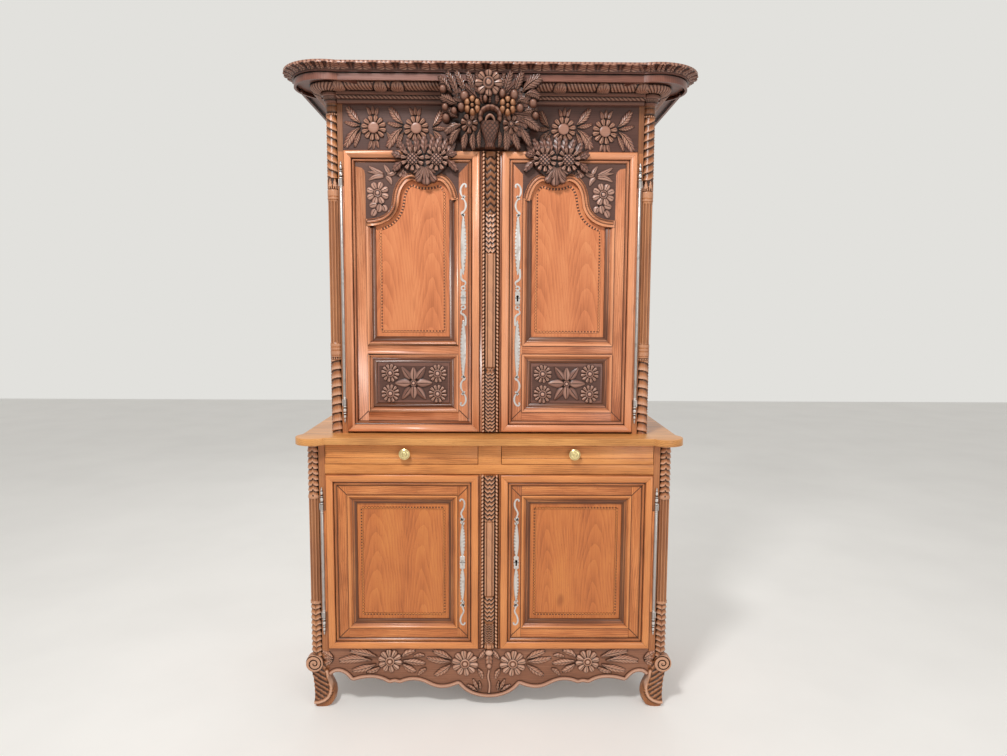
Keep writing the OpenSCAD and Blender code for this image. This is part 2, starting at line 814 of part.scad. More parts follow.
module arch_band() {
    line = arch_line();
    inside = arch_inside(arch_mould_w);
    n = len(line);
    intersection() {
        polygon(concat([for (p = line) p - [0, joint]], [for (i = [n - 1 : -1 : 0]) inside[i]]));
        translate([upper_s0 + joint, arch_z - 2 * shoulder_fall])
            square([upper_s1 - upper_s0 - 2 * joint, 2 * shoulder_fall]);
    }
}

// Side and bottom mouldings of the arched panel stop where the arch's own moulding begins
module below_arch() {
    middle = (upper_s0 + upper_s1) / 2;
    z0 = main_open_z - e;
    polygon([
        [upper_s0 - e, z0], [upper_s1 + e, z0],
        [upper_s1 + e, arch_z - shoulder_fall - arch_mould_w - joint],
        [middle, arch_z - shoulder_fall - arch_mould_w - joint],
        [middle, arch_z - arch_fall - joint], [upper_s0 - e, arch_z - arch_fall - joint]
    ]);
}

module upper_door_body(x0) {
    z0 = upper_door_z;
    z1 = upper_door_top;
    y1 = upper_y + door_t;
    difference() {
        union() {
            block(x0, upper_s0 - joint, upper_y, y1, z0, z1);
            block(upper_s1 + joint, upper_door_x, upper_y, y1, z0, z1);
            block(upper_s0, upper_s1, upper_y, y1, z0, low_open_z);
            block(upper_s0, upper_s1, upper_y, y1, low_open_top, main_open_z);
            upright(upper_y, y1) arched_rail(z1);
        }
        panel_space(upper_s0, upper_s1, low_open_z, low_open_top, upper_y, joint);
        panel_space(upper_s0, upper_s1, main_open_z, arch_z, upper_y, joint);
    }
    translate([0, upper_y - joint, 0]) moulding_ring(meeting_x, upper_door_x, z0, z1, outer_mould_w)
        outer_profile();
    translate([0, upper_y, 0]) {
        moulding_ring(upper_s0, upper_s1, low_open_z, low_open_top, inner_mould_w) inner_profile();
        intersection() {
            moulding_ring(upper_s0, upper_s1, main_open_z, arch_z, inner_mould_w) inner_profile();
            upright(-60, 60) below_arch();
        }
    }
    upright(upper_y - arch_proud, upper_y + field_set - joint) arch_band();
}

module upper_panel() {
    color("chocolate") panel_space(upper_s0, upper_s1, main_open_z, arch_z, upper_y, 0);
}

// Carved panel: its middle stands forward inside the inner moulding
module low_panel() {
    x0 = upper_s0 + inner_mould_w + joint;
    x1 = upper_s1 - inner_mould_w - joint;
    raised = 5;
    color("sienna") {
        panel_space(upper_s0, upper_s1, low_open_z, low_open_top, upper_y, 0);
        block(x0, x1, upper_y + field_set - raised, upper_y + field_set + e,
            low_open_z + inner_mould_w + joint, low_open_top - inner_mould_w - joint);
    }
}

module upper_right_door_frame() {
    color("peru") difference() {
        upper_door_body(butt_x);
        keyhole(plate_x, upper_key_z, upper_y);
    }
}

module upper_left_door_frame() {
    color("peru") difference() {
        mirror([1, 0, 0]) upper_door_body(-pilaster_x);
        bolt_space(upper_y, upper_door_top, 0.15);
    }
}

// Carved bunch of two sunflowers over the arch, with leaves that rise past the door's top
module sunflowers() {
    x = upper_s0 + 0.358 * (upper_s1 - upper_s0);
    flower_z = upper_door_top - 0.75 * flower_r;
    face_y = upper_y - outer_mould_h - joint;
    color("saddlebrown") {
        upright(face_y - 12, face_y - joint) {
            for (s = [-1, 1]) {
                translate([x + s * 0.96 * flower_r, flower_z]) circle(flower_r);
                translate([x + s * 1.9 * flower_r, flower_z]) circle(flower_r * 2 / 3);
            }
            translate([x, flower_z + 0.96 * flower_r]) circle(flower_r * 0.92);
        }
        for (s = [-1, 1]) translate([x + s * 0.94 * flower_r, face_y - 6, flower_z]) rotate([90, 0, 0])
            cylinder(h = 22, r = flower_r * 0.56);
        upright(upper_y - 24, upper_y - arch_proud - joint) {
            translate([x, arch_z - flower_r / 6]) circle(flower_r * 0.8);
            translate([x - 1.3 * flower_r, arch_z - 4])
                square([2.6 * flower_r, upper_door_top - outer_mould_w - 4 - arch_z]);
        }
    }
}

// UPPER CASE

upper_side_y0 = upper_y + upper_post;
upper_side_y1 = back_y - upper_post;
upper_in_x = upper_side_x - side_set - rail_t;

module upper_post_plan() {
    notch = upper_column_r - 2;
    difference() {
        translate([upper_open_x, upper_y]) square(upper_post);
        translate([upper_column_x - notch, upper_y - e]) square([upper_post, notch + column_set + e]);
    }
    translate([upper_column_x, upper_y + column_set]) circle(upper_column_r);
}

module upper_front_posts() {
    shares = [0, 0.225, 0.273, 0.709, 0.763, 0.966];
    color("sienna") both_sides() {
        translate([0, 0, upper_z]) linear_extrude(upper_case_h) upper_post_plan();
        translate([upper_column_x, upper_y + column_set, upper_z])
            rings([for (share = shares) [share * upper_case_h, upper_column_r + ring_out, 8]]);
    }
}

module upper_rear_posts() {
    color("sienna") both_sides()
        block(upper_open_x, upper_side_x, back_y - upper_post, back_y, upper_z, cornice_z);
}

upper_rail_spans = [
    [upper_z, upper_z + 110], [upper_z + upper_case_h / 2 - 45, upper_z + upper_case_h / 2 + 45],
    [cornice_z - 130, cornice_z]
];

module upper_side_rails() {
    side_rails(upper_side_x, upper_side_y0, upper_side_y1, upper_rail_spans);
}

module upper_side_panels() {
    side_panels(upper_side_x, upper_side_y0, upper_side_y1, [
        for (i = [0, 1]) [upper_rail_spans[i][1], upper_rail_spans[i + 1][0]]
    ]);
}

module upper_back() {
    back_boards(upper_open_x, upper_z, cornice_z, 6);
}

module upper_boards(y0, z) {
    translate([0, 0, z]) linear_extrude(board_t) board_plan(
        upper_open_x, upper_in_x, y0, back_y - back_t - joint, max(y0, upper_side_y0 + joint),
        upper_side_y1 - joint);
}

module upper_bottom() {
    color("saddlebrown") upper_boards(upper_y + door_t + 2 * door_gap, upper_z);
}

module upper_shelves() {
    color("saddlebrown") for (z = upper_shelf_z)
        upper_boards(upper_side_y0 + joint, z - board_t);
}

module upper_top() {
    color("saddlebrown") upper_boards(upper_y + rail_t + joint, cornice_z - board_t);
}

module frieze() {
    hole_z = cornice_z - frieze_h;
    color("sienna") difference() {
        block(-upper_open_x + joint, upper_open_x - joint, upper_y, upper_y + rail_t, hole_z, cornice_z);
        translate([bolt_x, bolt_y(upper_y), hole_z - e])
            cylinder(h = bolt_travel + 4 + e, r = bolt_r + 0.6);
    }
}

// CORNICE

// Heights above the seat of the cornice, and how far each edge stands out from the face of the case
round_z = 3 * band_h;
soffit_z = fascia_z + 12;
lip_z = fascia_z + fascia_h;
cove_z = lip_z + 11;
top_z = cornice_h - 9;

function cornice_upper(out) = concat(
    [[out + round_out, soffit_z], [out + fascia_out - 9, soffit_z], [out + fascia_out - 9, fascia_z],
     [out + fascia_out, fascia_z], [out + fascia_out, lip_z], [out + fascia_out - 3, lip_z],
     [out + fascia_out - 3, lip_z + 3], [out + fascia_out + 5, lip_z + 4], [out + fascia_out + 5, cove_z]],
    curve([out + fascia_out + 5, cove_z], [out + fascia_out + 8, top_z - 3],
        [out + cornice_out - 12, top_z - 2], [out + cornice_out, top_z]),
    [[out + cornice_out, cornice_h]]
);

function cornice_lower() = concat(
    [[-cornice_in, 0], [15, 0], [15, band_h], [15 + band_step, band_h + 1],
     [15 + band_step, 2 * band_h], [15 + 2 * band_step, 2 * band_h + 1], [15 + 2 * band_step, round_z]],
    curve([18 + 2 * band_step, round_z], [round_out - 8, round_z + 2], [round_out, soffit_z - 12],
        [round_out, soffit_z])
);

module cornice_outline() {
    polygon(concat(cornice_lower(), cornice_upper(0), [[-cornice_in, cornice_h]]));
}

// Round lobe over a corner column: the cornice's upper members on a fluted capital
module cornice_lobe() {
    r0 = upper_column_r;
    rotate_extrude() polygon(concat(
        [[0, 0], [r0 + 2, 0], [r0 + 3, 3], [r0 + 8, 4], [r0 + 8, 11], [r0 + 9, 12], [r0 + 21, 29],
         [r0 + 24, 30], [r0 + 24, 38]],
        curve([r0 + 25, round_z], [r0 + 50, round_z + 2], [r0 + 58, soffit_z - 14], [r0 + 60, soffit_z]),
        cornice_upper(column_set + lobe_out), [[0, cornice_h]]
    ));
}

module cornice() {
    x = upper_column_x;
    y = upper_y + column_set;
    color("sienna") translate([0, 0, cornice_z]) {
        translate([-x, upper_y, 0]) rotate([90, 0, 90]) linear_extrude(2 * x)
            mirror([1, 0]) cornice_outline();
        both_sides() {
            translate([upper_side_x, back_y, 0]) rotate([90, 0, 0]) linear_extrude(back_y - y)
                cornice_outline();
            translate([x, y, 0]) cornice_lobe();
            translate([x - upper_post + column_set, y - column_set, 0])
                cube([upper_post, upper_post, cornice_h]);
        }
    }
}

// Carved crest over the middle: a fan of leaves and flowers above a basket
module crest_front() {
    shares = [[0.15, -0.99], [0.21, -0.71], [0.57, -0.77], [0.78, -0.6], [0.97, -0.24], [0.9, 0.06], [1, 0.36]];
    half = concat([for (p = shares) [p[0] * crest_x, cornice_z + p[1] * frieze_h]],
        [[0.78 * crest_x, cornice_z + cove_z]]);
    polygon(concat(half, [for (i = [len(half) - 1 : -1 : 0]) [-half[i][0], half[i][1]]]));
}

module crest_side() {
    z = cornice_z;
    polygon([
        [0, z - frieze_h], [0.25 * cornice_out, z - frieze_h], [0.42 * cornice_out, z - 0.54 * frieze_h],
        [0.7 * cornice_out, z - 0.06 * frieze_h], [0.9 * cornice_out, z + fascia_z],
        [0.93 * cornice_out, z + cove_z], [0, z + cove_z]
    ]);
}

module crest() {
    color("saddlebrown") difference() {
        intersection() {
            upright(upper_y - cornice_out, upper_y - joint) crest_front();
            translate([-crest_x - e, upper_y, 0]) rotate([90, 0, 90]) linear_extrude(2 * (crest_x + e))
                mirror([1, 0]) crest_side();
        }
        for (y = [-joint, joint], z = [-joint, joint])
            translate([-crest_x - e, upper_y + y, cornice_z + z]) rotate([90, 0, 90])
                linear_extrude(2 * (crest_x + e)) mirror([1, 0]) cornice_outline();
    }
}

// Placing
countertop();
lower_front_posts();
lower_rear_posts();
lower_side_rails();
lower_side_panels();
lower_back();
drawer_rail();
drawer_divider();
apron();
lower_bottom();
lower_shelf();
shelf_cleats();
drawer_runners();
hinge_pins();
upper_front_posts();
upper_rear_posts();
upper_side_rails();
upper_side_panels();
upper_back();
upper_bottom();
upper_shelves();
upper_top();
frieze();
cornice();
crest();
mirror([1, 0, 0]) drawer_front();  // left_drawer_front
mirror([1, 0, 0]) drawer_box();  // left_drawer_box
mirror([1, 0, 0]) knob();  // left_knob
drawer_front();  // right_drawer_front
drawer_box();  // right_drawer_box
knob();  // right_knob
lower_left_door_frame();
mirror([1, 0, 0]) lower_door_panel();  // lower_left_door_panel
lower_pilaster();
mirror([1, 0, 0]) lower_plate(false);  // lower_left_plate
sliding_bolt(lower_y, lower_door_top);  // lower_left_bolt
mirror([1, 0, 0]) lower_right_hinge_sleeve();  // lower_left_hinge_sleeve
lower_right_door_frame();
lower_door_panel();  // lower_right_door_panel
lower_plate(true);  // lower_right_plate
lock_case(lower_key_z, lower_y);  // lower_right_lock
lock_bolt(lower_key_z, lower_y);  // lower_right_lock_bolt
lower_right_hinge_sleeve();
upper_left_door_frame();
mirror([1, 0, 0]) upper_panel();  // upper_left_door_panel
mirror([1, 0, 0]) low_panel();  // upper_left_low_panel
mirror([1, 0, 0]) sunflowers();  // upper_left_flowers
upper_pilaster();
mirror([1, 0, 0]) upper_plate(false);  // upper_left_plate
sliding_bolt(upper_y, upper_door_top);  // upper_left_bolt
mirror([1, 0, 0]) upper_right_hinge_sleeve();  // upper_left_hinge_sleeve
upper_right_door_frame();
upper_panel();  // upper_right_door_panel
low_panel();  // upper_right_low_panel
sunflowers();  // upper_right_flowers
upper_plate(true);  // upper_right_plate
lock_case(upper_key_z, upper_y);  // upper_right_lock
lock_bolt(upper_key_z, upper_y);  // upper_right_lock_bolt
upper_right_hinge_sleeve();
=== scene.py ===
import json
import math
import random

import bmesh
import bpy
from mathutils import Matrix, Vector


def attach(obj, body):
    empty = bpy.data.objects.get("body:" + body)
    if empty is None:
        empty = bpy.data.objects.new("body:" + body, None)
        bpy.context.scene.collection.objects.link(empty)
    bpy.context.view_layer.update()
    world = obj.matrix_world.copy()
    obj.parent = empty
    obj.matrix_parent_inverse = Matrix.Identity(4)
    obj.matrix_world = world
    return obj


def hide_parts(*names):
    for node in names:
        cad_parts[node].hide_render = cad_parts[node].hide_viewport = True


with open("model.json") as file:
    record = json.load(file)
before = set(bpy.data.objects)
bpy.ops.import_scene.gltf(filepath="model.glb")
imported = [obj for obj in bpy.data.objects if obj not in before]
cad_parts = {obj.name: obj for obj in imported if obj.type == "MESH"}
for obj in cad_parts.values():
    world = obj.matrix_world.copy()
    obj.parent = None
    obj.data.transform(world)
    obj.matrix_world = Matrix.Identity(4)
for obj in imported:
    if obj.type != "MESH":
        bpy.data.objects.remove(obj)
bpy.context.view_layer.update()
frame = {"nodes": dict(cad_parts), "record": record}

# Stage. The buffet stands on a pale floor in soft, even light, and is seen from a little
# above the middle of its height, straight in front.


def fill(tree, node, inputs):
    """Links the inputs of a shader node to other nodes, or sets their values."""
    for key, value in inputs.items():
        if isinstance(value, tuple) and isinstance(value[0], bpy.types.Node):
            tree.links.new(value[0].outputs[value[1]], node.inputs[key])
        elif isinstance(value, bpy.types.Node):
            tree.links.new(next(socket for socket in value.outputs if socket.enabled), node.inputs[key])
        else:
            node.inputs[key].default_value = value


def add(tree, kind, inputs={}, **settings):
    """Adds a shader node, sets it up, and fills its inputs."""
    made = tree.nodes.new("ShaderNode" + kind)
    for count, (place, colour) in enumerate(settings.pop("stops", ())):
        stops = made.color_ramp.elements
        stop = stops[count] if count < 2 else stops.new(place)
        stop.position, stop.color = place, colour
    for key, value in settings.items():
        setattr(made, key, value)
    fill(tree, made, inputs)
    return made


def linear(code):
    """The linear colour of an sRGB hex code."""
    parts = [int(code[i:i + 2], 16) / 255 for i in (1, 3, 5)]
    return [c / 12.92 if c <= 0.04045 else ((c + 0.055) / 1.055) ** 2.4 for c in parts] + [1]


def new_material(name):
    """An empty material and its surface shader."""
    material = bpy.data.materials.new(name)
    material.use_nodes = True
    tree = material.node_tree
    return material, tree, tree.nodes["Principled BSDF"]


def seen_rays(tree):
    """1 for rays that show the backdrop to the camera, straight or in metal, and 0 for those that light."""
    rays = add(tree, "LightPath")
    seen = (rays, "Is Camera Ray")
    for kind in ("Is Glossy Ray", "Is Transmission Ray"):
        seen = add(tree, "Math", {0: seen, 1: (rays, kind)}, operation="MAXIMUM")
    return seen


def concrete_floor():
    """Pale sealed concrete: faint clouds of grey, and hardly any gloss."""
    material, tree, shader = new_material("sealed concrete")
    place = add(tree, "TexCoord")
    clouds = add(tree, "TexNoise", {"Vector": (place, "Object"), "Scale": 1.6, "Detail": 5})
    tone = add(tree, "Mix", {0: clouds, 6: linear("#DEDCD8"), 7: linear("#EEECE8")}, data_type="RGBA")
    glow = add(tree, "Math", {0: seen_rays(tree), 1: 0.17}, operation="MULTIPLY")
    fill(tree, shader, {"Base Color": tone, "Emission Strength": glow})
    shader.inputs["Roughness"].default_value = 0.7
    shader.inputs["Emission Color"].default_value = linear("#F4F3F0")
    return material


floor_bm = bmesh.new()
bmesh.ops.create_grid(floor_bm, x_segments=2, y_segments=2, size=9)
floor_mesh = bpy.data.meshes.new("floor")
floor_bm.to_mesh(floor_mesh)
floor_bm.free()
floor_mesh.materials.append(concrete_floor())
floor = bpy.data.objects.new("floor", floor_mesh)
bpy.context.scene.collection.objects.link(floor)

camera_place = Vector((0.0228, -2.9026, 1.5791))
tilt, turn, lean = 0.0998, 0.0108, 0.0053
ahead = Vector((math.sin(turn) * math.cos(tilt), math.cos(turn) * math.cos(tilt), -math.sin(tilt)))
right = Vector((math.cos(turn), -math.sin(turn), 0))
up = right.cross(ahead)
right, up = (right * math.cos(lean) + up * math.sin(lean), up * math.cos(lean) - right * math.sin(lean))
focal_px, image_px, sensor_mm = 700, 1007, 36
lens = bpy.data.cameras.new("camera")
lens.sensor_width = sensor_mm
lens.lens = focal_px / image_px * sensor_mm
camera = bpy.data.objects.new("camera", lens)
bpy.context.scene.collection.objects.link(camera)
camera.matrix_world = Matrix((right, up, -ahead)).transposed().to_4x4()
camera.location = camera_place
bpy.context.scene.camera = camera
bpy.context.scene.view_settings.view_transform = "Standard"


def soft_lamp(name, place, aim, size, power):
    """A square soft box that points at aim."""
    data = bpy.data.lights.new(name, "AREA")
    data.size = size
    data.energy = power
    lamp = bpy.data.objects.new(name, data)
    lamp.location = place
    lamp.rotation_euler = (Vector(aim) - Vector(place)).to_track_quat("-Z", "Y").to_euler()
    bpy.context.scene.collection.objects.link(lamp)


soft_lamp("key", (-1.0, -2.7, 4.2), (0, -0.2, 1.1), 0.6, 108)
soft_lamp("fill", (2.4, -3.4, 1.6), (0, 0, 1.1), 1.6, 24)
soft_lamp("back", (0.0, 3.4, 3.2), (0, 0, 1.2), 2.5, 34)

world = bpy.data.worlds.new("studio")
bpy.context.scene.world = world
world.use_nodes = True
sky = world.node_tree
around = add(sky, "Background", {"Color": linear("#F6F4F0"), "Strength": 0.50})
behind = add(sky, "Background", {"Color": linear("#E2E1DD"), "Strength": 1.0})
fill(sky, sky.nodes["World Output"],
     {"Surface": add(sky, "MixShader", {0: seen_rays(sky), 1: around, 2: behind})})

# Carcase boards. Rails, posts, panels, shelves, drawer boxes and back boards are planed planks with
# their edges lightly rounded, pegged and nailed together. The grain runs along each plank.


def wood(name, pale, brown, streak, hollow, gloss=0.42, worn_and_highlight_pale=None, figure=1.0):
    """Waxed wood: growth rings drawn out along the grain, blotches, fibres, pores and small knots. Painted
    shade browns the nooks, painted shade and old wax blacken every groove and corner, and high places get
    rubbed pale and painted highlight."""
    material, tree, shader = new_material(name)
    place = (add(tree, "Attribute", attribute_name="board"), "Vector")
    warp, tone, fibre, pore = (
        add(tree, "TexNoise", {"Vector": add(tree, "Mapping", {"Vector": place, "Scale": size}),
                               "Scale": 1.0, "Detail": detail})
        for size, detail in (((8, 8, 4), 2), ((13, 13, 4), 3), ((330, 330, 12), 3), ((420, 420, 70), 1)))
    bent = add(tree, "VectorMath", {0: (warp, "Color"), 1: (0.03, 0.03, 0.16), 2: place},
               operation="MULTIPLY_ADD")
    ring = add(tree, "TexWave", {"Vector": add(tree, "Mapping", {"Vector": bent, "Scale": (1, 1, 0.1)}),
                                 "Scale": 40, "Distortion": 1.2, "Detail": 2, "Detail Scale": 1.5},
               wave_type="RINGS", rings_direction="Y", wave_profile="SAW")
    mixed = add(tree, "Math", {0: (ring, "Fac"), 1: 0.2}, operation="MULTIPLY")
    for layer, share in ((tone, 0.9), (fibre, 0.5)):
        mixed = add(tree, "Math", {0: (layer, "Fac"), 1: share, 2: mixed}, operation="MULTIPLY_ADD")
    spread = add(tree, "MapRange", {"Value": mixed, "From Min": 0.48, "From Max": 1.08,
                                    "To Min": 0.5 - 0.5 * figure, "To Max": 0.5 + 0.5 * figure})
    colour = add(tree, "ValToRGB", {"Fac": spread},
                 stops=[(0, linear(streak)), (0.5, linear(brown)), (1, linear(pale))])
    dots = add(tree, "MapRange", {"Value": (pore, "Fac"), "From Min": 0.66, "From Max": 0.76,
                                  "To Max": 0.5 * figure})
    wide = add(tree, "Mapping", {"Vector": bent, "Scale": (4.5, 4.5, 2.2)})
    cells = add(tree, "TexVoronoi", {"Vector": wide, "Scale": 1.0})
    knot = add(tree, "MapRange", {"Value": (cells, "Distance"), "From Min": 0.085, "From Max": 0.03,
                                  "To Max": 0.7 * figure})
    marks = add(tree, "Math", {0: dots, 1: knot}, operation="MAXIMUM")
    # Painted shade: ambient occlusion over 35 mm browns the nooks towards the streak colour.
    nook = add(tree, "AmbientOcclusion", {"Distance": 0.035}, samples=6, only_local=True)
    painted_nook_shade = add(tree, "MapRange", {"Value": (nook, "AO"), "From Min": 0.96, "From Max": 0.6, "To Max": 0.6})
    # The wear value paints light and shade as well as wear: below 0 it mixes in the hollow colour as dark
    # stain and painted shade, and above 0.1 the pale colour as rubbed wear and painted highlight.
    high = (add(tree, "Attribute", attribute_name="high"), "Fac")
    rubbed = add(tree, "MapRange", {"Value": high, "From Min": 0.1, "From Max": 1.0, "To Max": 0.85})
    sunk = add(tree, "MapRange", {"Value": high, "From Min": 0.0, "From Max": -1.0, "To Max": 0.92})
    # Painted shade: ambient occlusion over 9 mm blackens every groove and corner, where old wax lies dark
    # too.
    corner = add(tree, "AmbientOcclusion", {"Distance": 0.009}, samples=8, only_local=True)
    groove_wax_and_shade = add(tree, "MapRange", {"Value": (corner, "AO"), "From Min": 0.92, "From Max": 0.52})
    hollow_stain_and_shade = add(tree, "Math", {0: sunk, 1: groove_wax_and_shade}, operation="MAXIMUM")
    for amount, tint in ((marks, streak), (painted_nook_shade, streak), (rubbed, worn_and_highlight_pale or pale), (hollow_stain_and_shade, hollow)):
        colour = add(tree, "Mix", {0: amount, 6: colour, 7: linear(tint)}, data_type="RGBA")
    rough = add(tree, "MapRange", {"Value": (fibre, "Fac"), "To Min": gloss - 0.07, "To Max": gloss + 0.1})
    relief = add(tree, "Math", {0: (fibre, "Fac"), 1: dots}, operation="SUBTRACT")
    bump = add(tree, "Bump", {"Height": relief, "Strength": 0.25, "Distance": 0.0006})
    fill(tree, shader, {"Base Color": colour, "Roughness": rough, "Normal": bump})
    shader.inputs["Specular IOR Level"].default_value = 0.4
    shader.inputs["Coat Weight"].default_value = 0.14
    shader.inputs["Coat Roughness"].default_value = 0.22
    return material


mm = 0.001
waxed = wood("waxed oak, orange brown", "#D58C5E", "#B97249", "#874B2C", "#2E1208")
inner = wood("bare oak boards", "#B08A62", "#8F6B48", "#664A31", "#3C2A1D", gloss=0.6)


def start():
    """An empty mesh in millimetres whose points carry their place in the plank and how worn they are, a
    number that also paints their shade and highlight.
    """
    bm = bmesh.new()
    bm.verts.layers.float_vector.new("board")
    bm.verts.layers.float.new("high")
    return bm


def lay_grain(bm, verts, axis, shift=(0, 0, 0), slant=0):
    """Gives points their place in the plank, in metres, with the grain along its third number. A slant of
    1 is for a plank whose rings cross it at 45 degrees, so they are lines on all four of its sides."""
    board = bm.verts.layers.float_vector["board"]
    order = {0: (2, 1, 0), 1: (0, 2, 1), 2: (0, 1, 2)}[axis]
    for vert in verts:
        across, through, along = [vert.co[i] * mm for i in order]
        vert[board] = Vector((across + slant * through, through, along)) + Vector(shift)


def finish(bm, name, body, material, nodes=(), grain=2, sharp=40):
    """Turns a mesh in millimetres into a piece in metres that rides on a body and stands for CAD nodes."""
    board = bm.verts.layers.float_vector["board"]
    lay_grain(bm, [vert for vert in bm.verts if vert[board].length_squared == 0], grain)
    bmesh.ops.recalc_face_normals(bm, faces=bm.faces)
    bmesh.ops.scale(bm, vec=(mm, mm, mm), verts=bm.verts)
    mesh = bpy.data.meshes.new(name)
    bm.to_mesh(mesh)
    bm.free()
    mesh.shade_smooth()
    mesh.set_sharp_from_angle(angle=math.radians(sharp))
    mesh.materials.append(material)
    piece = bpy.data.objects.new(name, mesh)
    bpy.context.scene.collection.objects.link(piece)
    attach(piece, body)
    if nodes:
        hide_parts(*nodes)


def islands(bm):
    """The separate solids of a mesh, each as a list of points, from left to right."""
    left, groups = dict.fromkeys(bm.verts), []
    while left:
        group, edge = [], [left.popitem()[0]]
        while edge:
            vert = edge.pop()
            group.append(vert)
            for link in vert.link_edges:
                other = link.other_vert(vert)
                if other in left:
                    del left[other]
                    edge.append(other)
        groups.append(group)
    return sorted(groups, key=lambda group: [round(end, 1) for ends in span(group) for end in ends])


def span(verts):
    """The lowest and highest place of some points along each axis."""
    return [(min(v.co[i] for v in verts), max(v.co[i] for v in verts)) for i in range(3)]


def cad_boards(node):
    """The boards of a CAD node, in millimetres, with their doubled points joined."""
    bm = start()
    bm.from_mesh(frame["nodes"][node].data)
    bmesh.ops.scale(bm, vec=(1 / mm, 1 / mm, 1 / mm), verts=bm.verts)
    bmesh.ops.remove_doubles(bm, verts=bm.verts, dist=0.01)
    return bm


def soften(bm, edges, width, steps=2):
    """Rounds edges over, and gives the points of the new faces."""
    return bmesh.ops.bevel(bm, geom=edges, offset=width, offset_type="OFFSET", segments=steps, profile=0.5,
                           affect="EDGES", clamp_overlap=True, material=-1)["verts"]


def soften_corners(bm, width, angle):
    """Rounds every edge of some boards whose faces meet at more than the angle."""
    bmesh.ops.dissolve_limit(bm, angle_limit=0.02, verts=bm.verts, edges=bm.edges)
    soften(bm, [e for e in bm.edges if e.is_manifold and e.calc_face_angle() > angle], width)


planks = random.Random(4)


def from_log():
    """Where in the log the next plank was sawn."""
    return [planks.uniform(-3, 3) for _ in range(3)]


body_of = {node: body for body, nodes in frame["record"]["behaviour"]["bodies"].items() for node in nodes}


def round_boards(node, material):
    """Stands for a node of plain boards: the same boards with rounded edges, each with its own grain."""
    bm = cad_boards(node)
    soften_corners(bm, 1, 0.5)
    for verts in islands(bm):
        lengths = [high - low for low, high in span(verts)]
        lay_grain(bm, verts, lengths.index(max(lengths)), from_log(), 1)
    finish(bm, node + "_wood", body_of[node], material, [node])


drawer_oak = wood("waxed oak, drawer fronts", "#EAA05C", "#D68A4B", "#A0602F", "#34180C", gloss=0.4)
for node in ("lower_side_rails", "lower_side_panels", "upper_side_rails", "upper_side_panels"):
    round_boards(node, waxed)
for node in ("drawer_rail", "drawer_divider", "left_drawer_front", "right_drawer_front"):
    round_boards(node, drawer_oak)
for node in ("lower_rear_posts", "upper_rear_posts", "lower_back", "upper_back", "lower_bottom",
             "lower_shelf", "shelf_cleats", "drawer_runners", "upper_bottom", "upper_shelves",
             "upper_top", "left_drawer_box", "right_drawer_box"):
    round_boards(node, inner)

# Counter. Three oak boards glued edge to edge, with a bullnosed edge that swells into a round lobe over
# each corner column. It is waxed like the doors, and worn paler by use.
case_back, lower_face, upper_face = 341, -255, -175
lower_column = (678, -243)
counter_z, counter_top = 1059, 1086
counter_oak = wood("waxed oak, worn counter", "#F0AE68", "#D29252", "#A06634", "#34180C", gloss=0.38)


def lying(z):
    """The top of a board that lies flat at z: right, back and up from it."""
    return lambda a, b, out: Vector((a, b, z + out))


def oblong(x0, z0, x1, z1):
    """The outline of a plain board."""
    return [(x0, z0), (x1, z0), (x1, z1), (x0, z1)]


def slab(bm, outline, to_space, depth, edge, steps=2, wear=0.0):
    """A board with the given outline: its front is at to_space(a, b, 0) and its back depth behind it."""
    face = bm.faces.new([bm.verts.new(to_space(a, b, 0)) for a, b in outline])
    front = to_space(0, 0, 0)
    made = bmesh.ops.extrude_face_region(bm, geom=[face])["geom"]
    back = [item for item in made if isinstance(item, bmesh.types.BMVert)]
    bmesh.ops.translate(bm, vec=to_space(0, 0, -depth) - front, verts=back)
    verts = list(face.verts) + back
    if edge:
        rounded = soften(bm, list(face.edges), edge, steps)
        verts = {v for v in verts if v.is_valid} | set(rounded)
    for vert in verts:
        vert[bm.verts.layers.float["high"]] = wear


def arc(x, y, radius, first, last, count):
    """Points on a circle, with the angles in degrees."""
    turns = [math.radians(first + (last - first) * i / count) for i in range(count + 1)]
    return [(x + radius * math.cos(a), y + radius * math.sin(a)) for a in turns]


counter_bm = start()
lobe = arc(*lower_column, 66, -143, 37, 26)
half = [(0, -294)] + lobe + [(729, -203), (729, case_back)]
outline = half + [(-x, y) for x, y in reversed(half[1:])]
slab(counter_bm, outline, lying(counter_top), counter_top - counter_z, 7, 4)
lower_rim = [e for e in counter_bm.edges if all(v.co.z < counter_z + 1 for v in e.verts)]
soften(counter_bm, lower_rim, 5, 3)
lay_grain(counter_bm, counter_bm.verts, 0, (1.2, 0.4, 0.3), 1)
finish(counter_bm, "counter_board", "case", counter_oak, ["countertop"], grain=0, sharp=50)

# Lower front posts. Each is one length of oak, cut square behind and turned and carved in front into a
# column: scallops, flutes and chevrons. Below the case it becomes a leafy leg that ends in a scroll.
column_oak = wood("waxed oak, carved columns", "#D4935E", "#AE6C40", "#74452B", "#150703", gloss=0.4,
                  figure=0.6, worn_and_highlight_pale="#E2B396")
column_radius = 22


def sheet(bm, across, along, shape):
    """A net of faces whose points go where shape(u, v) says, with u and v from -1 to 1. The shape also says
    how worn each point is, from -1 in a hollow to 1 on a high place; the same number paints shade in hollows
    and highlight on high places."""
    high = bm.verts.layers.float["high"]
    made = bmesh.ops.create_grid(bm, x_segments=across, y_segments=along, size=0.5)["verts"]
    for vert in made:
        vert.co, vert[high] = shape(vert.co.x * 2, vert.co.y * 2)
    return made


def close(bm, verts):
    """Closes the rim of a net."""
    rim = dict.fromkeys(e for v in verts for e in v.link_edges if e.is_boundary)
    bmesh.ops.holes_fill(bm, edges=list(rim), sides=0)


